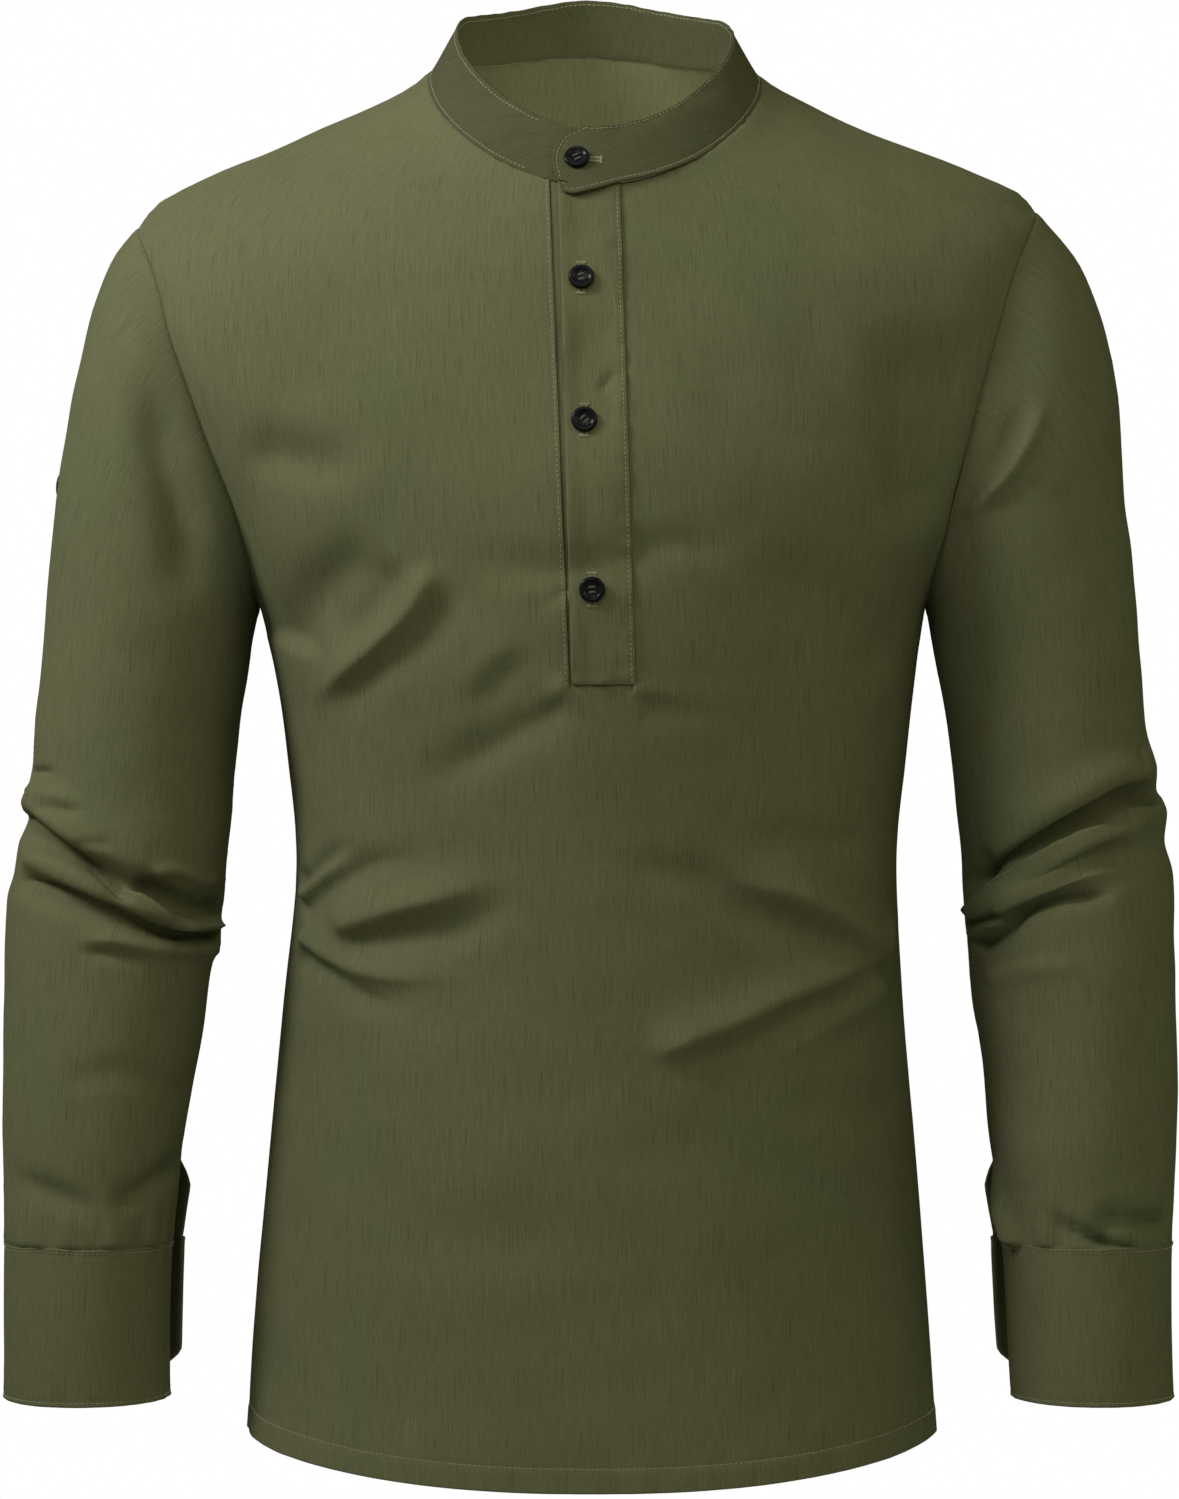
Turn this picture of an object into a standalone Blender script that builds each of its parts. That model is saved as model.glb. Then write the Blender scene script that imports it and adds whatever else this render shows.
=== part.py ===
"""A long-sleeved linen shirt with a band collar and a buttoned half placket, worn and filled out.

Metres, +Z up. The shirt faces -Y and the wearer's left is +X. The origin is where the wearer's
shoulders hold the shirt: the middle of the neck, level with the inner ends of the shoulders.
Every panel is a loft through the rings in the tables below, given a wall by Solidify.
"""

import math
from collections import namedtuple

import bmesh
import bpy
import numpy as np
from mathutils import Vector
from mathutils.bvhtree import BVHTree

# Cloth walls and the spaces between pieces.
CLOTH_WALL = 0.0012
BAND_WALL = 0.0018  # collar band and cuffs: two layers with interlining
SEAM_SETBACK = 0.00045  # each piece stops this far short of a seam line
COLLAR_SETBACK = 0.0006  # the same for the placket's strips below the collar
LAYER_GAP = 0.0004  # between pieces that lie on each other

# Facets.
COLUMNS_SIDE = 8  # across the front, from a side seam to the placket
COLUMNS_PLACKET = 2
COLUMNS_STRIP = 4  # across each strip of the placket
COLUMNS_BACK = 18
ROWS_BODY = 13  # hem to underarm
ROWS_ARMHOLE = 10  # underarm to shoulder point
ROWS_SHOULDER = 5  # shoulder point to neck
RELAX_TIMES = 4
RELAX_SHARE = 0.8
RELAX_COLUMNS = 3  # the easing fades out this close to a panel's sides

# The armhole's reach from the side seam's plane, forwards and backwards.
ARMHOLE_FRONT = 0.057
ARMHOLE_BACK = 0.060

# The torso from hem to neck. A ring's left and right ends are as seen from the front, and its
# front and back ends as seen from the side. Power 2 is an ellipse, and more is squarer. Sag is how far
# a ring drops between its sides and the middle of its back.
Section = namedtuple("Section", "name left_x left_z right_x right_z front_y front_z back_y back_z power sag")
TORSO = [
    Section("hem", -0.1752, -0.6835, 0.1752, -0.6835, -0.119, -0.6980, 0.110, -0.7040, 2.35, 0.000),
    Section("tail", -0.1716, -0.6290, 0.1716, -0.6290, -0.117, -0.6390, 0.106, -0.6420, 2.35, 0.000),
    Section("hip", -0.1645, -0.5490, 0.1655, -0.5490, -0.114, -0.5560, 0.099, -0.5560, 2.30, 0.000),
    Section("belly", -0.1568, -0.4670, 0.1585, -0.4670, -0.110, -0.4720, 0.090, -0.4720, 2.25, 0.000),
    Section("waist", -0.1500, -0.3970, 0.1553, -0.3970, -0.109, -0.4010, 0.087, -0.4010, 2.25, 0.000),
    Section("ribs", -0.1545, -0.3450, 0.1600, -0.3450, -0.116, -0.3480, 0.097, -0.3480, 2.30, 0.000),
    Section("chest", -0.1600, -0.3040, 0.1645, -0.3040, -0.122, -0.3070, 0.108, -0.3060, 2.35, 0.000),
    Section("underarm", -0.1693, -0.2647, 0.1700, -0.2647, -0.125, -0.2690, 0.116, -0.2640, 2.35, 0.000),
    Section("armhole_low", -0.1870, -0.2190, 0.1890, -0.2190, -0.125, -0.2310, 0.120, -0.2170, 2.35, 0.000),
    Section("armhole_mid", -0.2130, -0.1670, 0.2085, -0.1670, -0.120, -0.1880, 0.120, -0.1620, 2.30, 0.000),
    Section("armhole_high", -0.2305, -0.1125, 0.2230, -0.1080, -0.110, -0.1440, 0.114, -0.1020, 2.25, 0.000),
    Section("shoulder_point", -0.2308, -0.0728, 0.2262, -0.0648, -0.102, -0.1130, 0.105, -0.0560, 2.15, 0.000),
    Section("shoulder_outer", -0.1908, -0.0452, 0.1920, -0.0440, -0.096, -0.0960, 0.098, -0.0300, 2.10, 0.000),
    Section("shoulder_mid", -0.1469, -0.0298, 0.1474, -0.0280, -0.091, -0.0820, 0.091, -0.0050, 2.05, 0.000),
    Section("shoulder_inner", -0.1092, -0.0140, 0.1100, -0.0134, -0.087, -0.0715, 0.084, 0.0142, 2.00, 0.002),
    Section("neck", -0.0830, 0.0024, 0.0866, 0.0000, -0.084, -0.0620, 0.078, 0.0270, 1.90, 0.0055),
]

# Each sleeve from armhole to wrist. Outer and inner are a ring's ends as seen from the front, with x
# as a distance from the middle of the shirt. Front and back are its reach along Y from centre_y,
# and front_z is how far the middle of its front rises. The elbow's folds have rows of their own.
Ring = namedtuple("Ring", "name outer_x outer_z inner_x inner_z front back centre_y front_z")
SLEEVE_LEFT = [  # the wearer's left, at +X
    Ring("armhole", 0.2262, -0.0648, 0.1700, -0.2647, 0.057, 0.060, 0.000, 0.000),
    Ring("cap", 0.2415, -0.0800, 0.1708, -0.2665, 0.062, 0.064, 0.001, 0.000),
    Ring("deltoid", 0.2565, -0.1110, 0.1714, -0.2690, 0.065, 0.067, 0.001, 0.000),
    Ring("upper_1", 0.2655, -0.1520, 0.1718, -0.2720, 0.065, 0.067, 0.000, 0.000),
    Ring("upper_2", 0.2708, -0.2020, 0.1727, -0.2770, 0.064, 0.065, 0.000, 0.000),
    Ring("upper_3", 0.2772, -0.2600, 0.1757, -0.2920, 0.061, 0.061, -0.001, 0.000),
    Ring("upper_4", 0.2808, -0.3120, 0.1812, -0.3260, 0.057, 0.057, -0.003, 0.000),
    Ring("elbow_top", 0.2824, -0.3300, 0.1852, -0.3620, 0.056, 0.056, -0.004, 0.002),
    Ring("elbow_bulge", 0.2872, -0.3490, 0.1892, -0.4000, 0.059, 0.056, -0.005, 0.006),
    Ring("elbow_crease", 0.2878, -0.3590, 0.1896, -0.4180, 0.051, 0.054, -0.005, 0.008),
    Ring("elbow_ridge", 0.2922, -0.3720, 0.1900, -0.4270, 0.058, 0.054, -0.006, 0.008),
    Ring("elbow_fold", 0.2912, -0.3850, 0.1915, -0.4350, 0.051, 0.053, -0.007, 0.006),
    Ring("forearm_1", 0.2956, -0.4040, 0.1926, -0.4460, 0.054, 0.052, -0.009, 0.004),
    Ring("forearm_2", 0.2962, -0.4450, 0.1948, -0.4680, 0.052, 0.050, -0.013, 0.002),
    Ring("forearm_3", 0.2951, -0.4980, 0.1991, -0.5060, 0.049, 0.048, -0.019, 0.000),
    Ring("slit_top", 0.2940, -0.5340, 0.2006, -0.5370, 0.046, 0.046, -0.024, 0.000),
    Ring("slit_mid", 0.2931, -0.5600, 0.2040, -0.5610, 0.043, 0.043, -0.027, 0.002),
    Ring("wrist", 0.2920, -0.5870, 0.2064, -0.5870, 0.040, 0.040, -0.030, 0.000),
]
SLEEVE_RIGHT = [  # the wearer's right, at -X
    Ring("armhole", 0.2308, -0.0728, 0.1693, -0.2647, 0.057, 0.060, 0.000, 0.000),
    Ring("cap", 0.2425, -0.0860, 0.1698, -0.2665, 0.062, 0.064, 0.001, 0.000),
    Ring("deltoid", 0.2538, -0.1130, 0.1701, -0.2690, 0.065, 0.067, 0.001, 0.000),
    Ring("upper_1", 0.2625, -0.1520, 0.1706, -0.2720, 0.065, 0.067, 0.000, 0.000),
    Ring("upper_2", 0.2710, -0.2020, 0.1715, -0.2770, 0.064, 0.065, 0.000, 0.000),
    Ring("upper_3", 0.2772, -0.2600, 0.1740, -0.2920, 0.061, 0.061, -0.001, 0.000),
    Ring("upper_4", 0.2818, -0.3120, 0.1790, -0.3260, 0.057, 0.057, -0.003, 0.000),
    Ring("elbow_top", 0.2846, -0.3450, 0.1832, -0.3720, 0.056, 0.056, -0.004, -0.002),
    Ring("elbow_bulge", 0.2886, -0.3640, 0.1866, -0.4010, 0.059, 0.056, -0.005, -0.007),
    Ring("elbow_crease", 0.2868, -0.3720, 0.1880, -0.4160, 0.051, 0.054, -0.006, -0.009),
    Ring("elbow_ridge", 0.2916, -0.3860, 0.1892, -0.4270, 0.058, 0.054, -0.006, -0.006),
    Ring("elbow_fold", 0.2932, -0.4010, 0.1894, -0.4370, 0.051, 0.053, -0.007, -0.003),
    Ring("forearm_1", 0.2962, -0.4160, 0.1930, -0.4480, 0.054, 0.052, -0.009, 0.000),
    Ring("forearm_2", 0.2970, -0.4530, 0.1954, -0.4700, 0.052, 0.050, -0.013, 0.000),
    Ring("forearm_3", 0.2972, -0.5010, 0.2010, -0.5080, 0.049, 0.048, -0.019, 0.000),
    Ring("slit_top", 0.2967, -0.5340, 0.2056, -0.5370, 0.046, 0.046, -0.024, 0.000),
    Ring("slit_mid", 0.2960, -0.5600, 0.2080, -0.5610, 0.043, 0.043, -0.027, 0.002),
    Ring("wrist", 0.2953, -0.5870, 0.2105, -0.5870, 0.040, 0.040, -0.030, 0.000),
]
CAP_RINGS = 5  # rows over which the armhole's own curve dies out along the sleeve
RING_COLUMNS = 2 * ROWS_ARMHOLE

# The cuffs, and the slit above each one on the back of the sleeve's inner side. The cuff's outer end
# stands off its inner end, and so does the slit's back edge.
CUFF_HEIGHT = 0.0765
CUFF_TAPER = {"left": 0.0055, "right": 0.0020}  # the inner side's lean outwards, top to bottom
FLAP_END = math.radians(205)  # from the sleeve's outer side, round by the front
SLIT_COLUMN = 12
UNDER_END = math.radians(238)
FLAP_SPREAD = math.radians(95)
FLAP_STAND_OFF = 0.0085
SLIT_STAND_OFF = {"slit_mid": 1.15, "wrist": 1.0}  # the slit's back edge, in shares of the flap's
SLIT_WIDTH = math.radians(4)
FLAP_CORNER = 0.011
CORNER_START = 0.5  # the corner's rounding starts at this share of the cuff's height
CUFF_COLUMNS = 24
CUFF_ROWS = (0.0, 0.5, 0.86, 1.0)  # shares of the cuff's height

# Neck, collar band and placket.
BAND_HEIGHT = 0.0325
BAND_RISE = 0.002  # how much higher the band is in front, and lower behind
BAND_SIDE = 0.004  # how much lower it is at the sides
BAND_LEAN = math.radians(30)  # inwards, from the vertical
BAND_COLUMNS = 34
BAND_UNDER_END = 0.0130  # x of the lower layer's end
BAND_CLEAR = 0.0040  # the upper layer starts to come down this far past that end
BAND_FADE = math.radians(45)  # the upper layer comes down to the neck over this turn
# x of the upper layer's rounded end, and the share of the band's height there.
BandEnd = namedtuple("BandEnd", "x height")
BAND_OVER_END = [
    BandEnd(-0.0128, 0.0),
    BandEnd(-0.0178, 0.22),
    BandEnd(-0.0202, 0.50),
    BandEnd(-0.0165, 0.78),
    BandEnd(-0.0040, 1.0),
]
PLACKET_BOTTOM = -0.3075
PLACKET_LEFT = (-0.0208, -0.0108)  # x of the opening's left side, at the neck and at the bottom
PLACKET_RIGHT = (0.0122, 0.0194)
PLACKET_EDGE = (-0.0158, -0.0090)  # x of the upper strip's free edge
PLACKET_LAP = 0.0014  # the upper strip laps this far over the front beside it

# Buttons.
BUTTON_RADIUS = 0.0063
BUTTON_SIDES = 16
BUTTON_PROFILE = [  # radius share and height, from the middle of the top out and under
    (0.0, 0.0017),
    (0.55, 0.0017),
    (0.72, 0.0026),
    (0.90, 0.0026),
    (1.0, 0.0017),
    (1.0, 0.0009),
    (0.72, 0.0),
    (0.0, 0.0),
]
HOLE_RADIUS = 0.00075
HOLE_PITCH = 0.0024
HOLE_SIDES = 6
DRILL_LENGTH = 0.01
MERGE_DISTANCE = 0.00005
COLLAR_BUTTON = (-0.0078, 0.42)  # x, and share of the band's height
PLACKET_BUTTONS = [(-0.0049, -0.1090), (-0.0034, -0.1797), (0.0004, -0.2620)]  # x, z
SLEEVE_BUTTON_Z = {"left": -0.1970, "right": -0.2040}
SLEEVE_BUTTON_TURN = {"left": math.radians(-30), "right": math.radians(-9)}  # from the outer side
CUFF_BUTTON_TURN = math.radians(221)
CUFF_BUTTON_DROP = 0.50  # share of the cuff's height

# The folds that are large enough to shape the wall, each along a bent line seen from the front.
# A fold keeps its height up to this share of its length, and then dies out.
FOLD_FADE_START = 0.4
Fold = namedtuple("Fold", "name start middle end height width")
FRONT_FOLDS = [
    Fold("waist_left_ridge", (0.150, -0.449), (0.100, -0.468), (0.030, -0.492), 0.0060, 0.015),
    Fold("waist_left_trough", (0.152, -0.465), (0.095, -0.490), (0.045, -0.512), -0.0050, 0.016),
    Fold("waist_right_trough", (-0.148, -0.414), (-0.110, -0.428), (-0.060, -0.420), -0.0050, 0.015),
    Fold("waist_right_ridge", (-0.148, -0.437), (-0.115, -0.455), (-0.060, -0.450), 0.0050, 0.016),
    Fold("chest_ridge", (-0.075, -0.240), (-0.105, -0.275), (-0.138, -0.300), 0.0055, 0.018),
    Fold("chest_trough", (-0.045, -0.252), (-0.078, -0.292), (-0.115, -0.320), -0.0045, 0.018),
]

CLOTH_COLOUR = (0.098, 0.101, 0.048)
CLOTH_ROUGHNESS = 0.9
BUTTON_COLOUR = (0.006, 0.007, 0.009)
BUTTON_ROUGHNESS = 0.25
RAY_START = 0.2  # a button is aimed at its cloth from this far off


def clear_scene():
    for obj in list(bpy.data.objects):
        bpy.data.objects.remove(obj)


def make_collection(name):
    made = bpy.data.collections.new(name)
    bpy.context.scene.collection.children.link(made)
    return made


def make_material(name, colour, roughness):
    made = bpy.data.materials.new(name)
    made.use_nodes = True
    shader = made.node_tree.nodes["Principled BSDF"]
    shader.inputs["Base Color"].default_value = (*colour, 1)
    shader.inputs["Roughness"].default_value = roughness
    shader.inputs["Metallic"].default_value = 0
    return made


def read_table(table, at):
    """The table's numbers at a fractional row, on smooth curves that never overshoot a row."""
    values = np.array([row[1:] for row in table], float)
    steps = np.diff(values, axis=0)
    same_way = steps[:-1] * steps[1:] > 0
    total = np.where(same_way, steps[:-1] + steps[1:], 1)
    inner_slopes = np.where(same_way, 2 * steps[:-1] * steps[1:] / total, 0)
    slopes = np.vstack([steps[:1], inner_slopes, steps[-1:]])
    row = min(int(at), len(values) - 2)
    t = at - row
    blend = (
        (2 * t**3 - 3 * t**2 + 1) * values[row]
        + (t**3 - 2 * t**2 + t) * slopes[row]
        + (3 * t**2 - 2 * t**3) * values[row + 1]
        + (t**3 - t**2) * slopes[row + 1]
    )
    return type(table[0])("", *blend)


def row_of(table, name):
    return [row.name for row in table].index(name)


def smooth(t):
    t = min(1.0, max(0.0, t))
    return t * t * (3 - 2 * t)


def flatten_power(value, power):
    return math.copysign(abs(value) ** (2 / power), value)


def torso_point(ring, angle):
    """A point of a torso ring. Angle 0 is the front, and a quarter turn is the wearer's left."""
    side = flatten_power(math.sin(angle), ring.power)
    ahead = flatten_power(math.cos(angle), ring.power)
    x = side * (ring.right_x if side > 0 else -ring.left_x)
    y = ahead * (ring.front_y if ahead > 0 else -ring.back_y)
    sides = (ring.left_z + ring.right_z) / 2
    ends = (ring.front_z + ring.back_z) / 2
    z = (
        (sides + ends) / 2
        + (ring.front_z - ring.back_z) / 2 * math.cos(angle)
        + (ring.right_z - ring.left_z) / 2 * math.sin(angle)
        + (ends - sides) / 2 * math.cos(2 * angle)
        - (ring.sag * math.sin(2 * angle) ** 2 if math.cos(angle) < 0 else 0)
    )
    return Vector((x, y, z))


def angle_at(ring, x):
    """The angle at which a torso ring's front reaches x."""
    reach = ring.right_x if x > 0 else -ring.left_x
    return math.copysign(math.asin((abs(x) / reach) ** (ring.power / 2)), x)


def torso_rows():
    """Each row of facets: where it is in TORSO, and its share of the way up the armhole, or None."""
    underarm, shoulder = row_of(TORSO, "underarm"), row_of(TORSO, "shoulder_point")
    last = len(TORSO) - 1
    rows = [(underarm * i / ROWS_BODY, None) for i in range(ROWS_BODY)]
    for i in range(ROWS_ARMHOLE + 1):
        rise = (1 - math.cos(math.pi * i / ROWS_ARMHOLE)) / 2
        rows.append((underarm + (shoulder - underarm) * rise, i / ROWS_ARMHOLE))
    for i in range(1, ROWS_SHOULDER + 1):
        rows.append((shoulder + (last - shoulder) * i / ROWS_SHOULDER, None))
    return rows


def edge_angle(ring, share, front):
    """How far round a panel reaches: a quarter turn at the seams, and less beside the armhole."""
    if share is None:
        return math.pi / 2
    depth, reach = (ARMHOLE_FRONT, -ring.front_y) if front else (ARMHOLE_BACK, ring.back_y)
    ahead = depth * math.sin(math.pi * share) / reach
    return math.acos(ahead ** (ring.power / 2))


def placket_x(ends, z):
    """An upright line's x at height z, from its x at the neck and at the placket's bottom."""
    top = TORSO[-1].front_z
    share = min(1.0, max(0.0, (top - z) / (top - PLACKET_BOTTOM)))
    return ends[0] + (ends[1] - ends[0]) * share


def fold_height(point):
    """How far the front's folds push a point out of the wall."""
    here = Vector((point.x, point.z))
    total = 0.0
    for fold in FRONT_FOLDS:
        line = [Vector(p) for p in (fold.start, fold.middle, fold.end)]
        nearest, along = math.inf, 0.0
        for i, (a, b) in enumerate(zip(line, line[1:])):
            t = max(0.0, min(1.0, (here - a).dot(b - a) / (b - a).length_squared))
            distance = (here - a - (b - a) * t).length
            if distance < nearest:
                nearest, along = distance, (i + t) / 2
        fade = 1 - smooth((along - FOLD_FADE_START) / (1 - FOLD_FADE_START))
        total += fold.height * fade * math.exp(-((nearest / fold.width) ** 2))
    return total


def front_angles(ring, edge):
    """Angles across the front, with columns along both sides of the placket's opening."""
    left, right = (angle_at(ring, placket_x(ends, ring.front_z)) for ends in (PLACKET_LEFT, PLACKET_RIGHT))
    return np.concatenate(
        [
            np.linspace(-edge, left, COLUMNS_SIDE + 1)[:-1],
            np.linspace(left, right, COLUMNS_PLACKET + 1)[:-1],
            np.linspace(right, edge, COLUMNS_SIDE + 1),
        ]
    )


def point_at_x(row, x):
    """The point at x on a row of the front."""
    for a, b in zip(row, row[1:]):
        if a.x <= x <= b.x:
            return a.lerp(b, (x - a.x) / (b.x - a.x))
    raise ValueError(f"the front does not reach x = {x}")


def slide_to_placket(row):
    """Slide the points beside the placket's opening along their row, back to its lines."""
    first, last = COLUMNS_SIDE, COLUMNS_SIDE + COLUMNS_PLACKET
    ends = [placket_x(line, row[first].z) for line in (PLACKET_LEFT, PLACKET_RIGHT)]
    row[first : last + 1] = [point_at_x(row, x) for x in np.linspace(*ends, COLUMNS_PLACKET + 1)]


def eased(grid):
    """The grid with its inner points drawn towards the middle of their neighbours, so no ring shows."""
    points = np.array(grid)
    last = points.shape[1] - 1
    from_edge = np.minimum(np.arange(1, last), last - np.arange(1, last))
    share = RELAX_SHARE * np.minimum(1, from_edge / RELAX_COLUMNS)[None, :, None]
    for _ in range(RELAX_TIMES):
        across = (points[1:-1, :-2] + points[1:-1, 2:]) / 2
        along = (points[:-2, 1:-1] + points[2:, 1:-1]) / 2
        points[1:-1, 1:-1] += share * ((across + along) / 2 - points[1:-1, 1:-1])
    return [[Vector(point) for point in row] for row in points]


def torso_grid(front):
    """Rows of points, hem to neck, on the front or the back, reaching right to the seam lines.

    The front's rows also cross the placket's opening.
    """
    grid = []
    for at, share in torso_rows():
        ring = read_table(TORSO, at)
        edge = edge_angle(ring, share, front)
        if front:
            angles = front_angles(ring, edge)
        else:
            angles = math.pi + np.linspace(-edge, edge, COLUMNS_BACK + 1)
        grid.append([torso_point(ring, angle) for angle in angles])
    grid = eased(grid)
    if not front:
        return grid
    for row in grid:
        slide_to_placket(row)
    return moved_out(grid, fold_height)


def outward(grid, row, column):
    """The grid's outward normal at a point, from its neighbours."""
    rows, columns = len(grid) - 1, len(grid[0]) - 1
    along = grid[min(row + 1, rows)][column] - grid[max(row - 1, 0)][column]
    across = grid[row][min(column + 1, columns)] - grid[row][max(column - 1, 0)]
    return across.cross(along).normalized()


def moved_out(grid, height):
    """The grid with each point moved out by height(point)."""
    return [[p + outward(grid, i, j) * height(p) for j, p in enumerate(row)] for i, row in enumerate(grid)]


def set_back(grid, sides="", by=SEAM_SETBACK):
    """The grid with some of its sides (first, last, start, end) stopping short of their seam lines."""

    def shorten(line, inner):
        return [p + (q - p).normalized() * by for p, q in zip(line, inner)]

    rows = [list(row) for row in grid]
    if "first" in sides:
        rows[0] = shorten(rows[0], rows[1])
    if "last" in sides:
        rows[-1] = shorten(rows[-1], rows[-2])
    columns = [list(column) for column in zip(*rows)]
    if "start" in sides:
        columns[0] = shorten(columns[0], columns[1])
    if "end" in sides:
        columns[-1] = shorten(columns[-1], columns[-2])
    return [list(row) for row in zip(*columns)]


def make_sheet(name, grid, wall, home, look, skipped=(), tube_rows=0):
    """A panel whose outer face is the grid. The first tube_rows rows are closed round."""
    mesh = bmesh.new()
    rows = []
    for i, line in enumerate(grid):
        if i < tube_rows:
            verts = [mesh.verts.new(p) for p in line[:-1]]
            rows.append(verts + verts[:1])
        else:
            rows.append([mesh.verts.new(p) for p in line])
    for i in range(len(rows) - 1):
        for j in range(len(rows[i]) - 1):
            if (i, j) not in skipped:
                mesh.faces.new((rows[i][j], rows[i][j + 1], rows[i + 1][j + 1], rows[i + 1][j]))
    unused = [v for v in mesh.verts if not v.link_faces]
    bmesh.ops.delete(mesh, geom=unused, context="VERTS")
    data = bpy.data.meshes.new(name)
    mesh.to_mesh(data)
    mesh.free()
    data.shade_smooth()
    data.materials.append(look)
    obj = bpy.data.objects.new(name, data)
    home.objects.link(obj)
    solid = obj.modifiers.new("wall", "SOLIDIFY")
    solid.thickness = wall
    solid.offset = -1
    solid.use_even_offset = True
    return obj


def placket_rows():
    """The rows of the front's facets that the placket covers."""
    heights = [read_table(TORSO, at).front_z for at, _ in torso_rows()]
    first = min(range(len(heights)), key=lambda i: abs(heights[i] - PLACKET_BOTTOM))
    return range(first, len(heights))


def placket_grid(front, left, right):
    """A strip that follows the front between two upright lines."""
    grid = []
    for i in placket_rows():
        ends = [placket_x(line, front[i][COLUMNS_SIDE].z) for line in (left, right)]
        grid.append([point_at_x(front[i], x) for x in np.linspace(*ends, COLUMNS_STRIP + 1)])
    return grid


def make_torso(front, home, cloth):
    """The back, and the front with its opening for the placket."""
    make_sheet("back", set_back(torso_grid(front=False), "last start end"), CLOTH_WALL, home, cloth("back"))
    grid = set_back(front, "last start end")
    left, right = COLUMNS_SIDE, COLUMNS_SIDE + COLUMNS_PLACKET
    for i in placket_rows():
        row = grid[i]
        row[left] += (row[left - 1] - row[left]).normalized() * SEAM_SETBACK
        row[right] += (row[right + 1] - row[right]).normalized() * SEAM_SETBACK
    opening = {(i, j) for i in placket_rows() for j in range(left, right)}
    make_sheet("front", grid, CLOTH_WALL, home, cloth("front"), skipped=opening)


def make_placket(front, home, cloth):
    """The lower strip fills the opening. The upper strip lies on it and laps over the front."""
    under = set_back(placket_grid(front, PLACKET_LEFT, PLACKET_RIGHT), "first start end")
    under = set_back(under, "last", COLLAR_SETBACK)
    make_sheet("placket_under", under, CLOTH_WALL, home, cloth("placket_under"))
    right = tuple(x + PLACKET_LAP for x in PLACKET_RIGHT)
    upper = moved_out(placket_grid(front, PLACKET_EDGE, right), lambda point: CLOTH_WALL + LAYER_GAP)
    upper[0] = [p - Vector((0, 0, PLACKET_LAP)) for p in upper[0]]
    upper = set_back(upper, "last", COLLAR_SETBACK)
    return make_sheet("placket_upper", upper, CLOTH_WALL, home, cloth("placket_upper"))


def band_point(angle, height, lift):
    """A point of the collar band at a share of its height, standing off the neck by lift."""
    base = torso_point(TORSO[-1], angle)
    inwards = Vector((-math.sin(angle), math.cos(angle), 0))
    up = inwards * math.sin(BAND_LEAN) + Vector((0, 0, math.cos(BAND_LEAN)))
    out = Vector((0, 0, math.sin(BAND_LEAN))) - inwards * math.cos(BAND_LEAN)
    tall = BAND_HEIGHT + BAND_RISE * math.cos(angle) - BAND_SIDE * math.sin(angle) ** 2
    return base + up * height * tall + out * lift


def make_collar(home, cloth):
    """A band round the neck. Its end on the wearer's left is rounded, and laps over the other."""
    neck = TORSO[-1]
    under = 2 * math.pi + angle_at(neck, BAND_UNDER_END)
    clear = angle_at(neck, BAND_UNDER_END + BAND_CLEAR)
    grid = []
    for end in BAND_OVER_END:
        row = []
        for angle in np.linspace(angle_at(neck, end.x), under, BAND_COLUMNS + 1):
            lift = (BAND_WALL + LAYER_GAP) * (1 - smooth((angle - clear) / BAND_FADE))
            row.append(band_point(angle, end.height, lift))
        grid.append(row)
    return make_sheet("collar_band", set_back(grid, "first"), BAND_WALL, home, cloth("collar_band"))


def sleeve_point(ring, turn, side, lift=0.0):
    """A point of a sleeve's ring. Turn 0 is its outer side and a quarter turn its front."""
    across, ahead = math.cos(turn), math.sin(turn)
    depth = ring.front if ahead > 0 else ring.back
    x = (ring.outer_x + ring.inner_x) / 2 + (ring.outer_x - ring.inner_x) / 2 * across
    z = (ring.outer_z + ring.inner_z) / 2 + (ring.outer_z - ring.inner_z) / 2 * across
    y = ring.centre_y - depth * ahead
    z += ring.front_z * max(0.0, ahead)
    return Vector((side * (x + lift * across), y - lift * ahead, z))


def armhole_point(turn, side):
    """The point of the armhole that a sleeve's column starts from."""
    turn %= 2 * math.pi
    front = turn < math.pi
    share = 1 - turn / math.pi if front else turn / math.pi - 1
    underarm, shoulder = row_of(TORSO, "underarm"), row_of(TORSO, "shoulder_point")
    rise = (1 - math.cos(math.pi * share)) / 2
    ring = read_table(TORSO, underarm + (shoulder - underarm) * rise)
    edge = edge_angle(ring, share, front)
    return torso_point(ring, side * (edge if front else math.pi - edge))


def flap_lift(turn):
    """How far the cuff's outer end stands off, at a turn past its free edge."""
    spread = max(0.0, 1 - (turn - FLAP_END) / FLAP_SPREAD)
    return FLAP_STAND_OFF * spread**2


def side_order(grid, side):
    """The grid's columns in the order that makes its faces look outwards on this side."""
    return grid if side > 0 else [row[::-1] for row in grid]


def make_sleeve(name, table, side, home, cloth):
    """One tube from armhole to wrist, slit up from the wrist."""
    slit = 2 * math.pi * SLIT_COLUMN / RING_COLUMNS
    grid = []
    for i, ring in enumerate(table):
        blend = 1 - smooth(i / CAP_RINGS)
        stand_off = SLIT_STAND_OFF.get(ring.name, 0.0)
        row = []
        for j in range(RING_COLUMNS + 1):
            turn = slit + 2 * math.pi * j / RING_COLUMNS
            if stand_off and j == RING_COLUMNS:
                turn -= SLIT_WIDTH
            lift = flap_lift(turn) * stand_off
            point = sleeve_point(ring, turn, side, lift)
            point += (armhole_point(turn, side) - sleeve_point(table[0], turn, side)) * blend
            row.append(point)
        grid.append(row)
    tube_rows = row_of(table, "slit_top") + 1
    grid = side_order(set_back(grid, "first last", SEAM_SETBACK), side)
    return make_sheet(name, grid, CLOTH_WALL, home, cloth(name), tube_rows=tube_rows)


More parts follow.
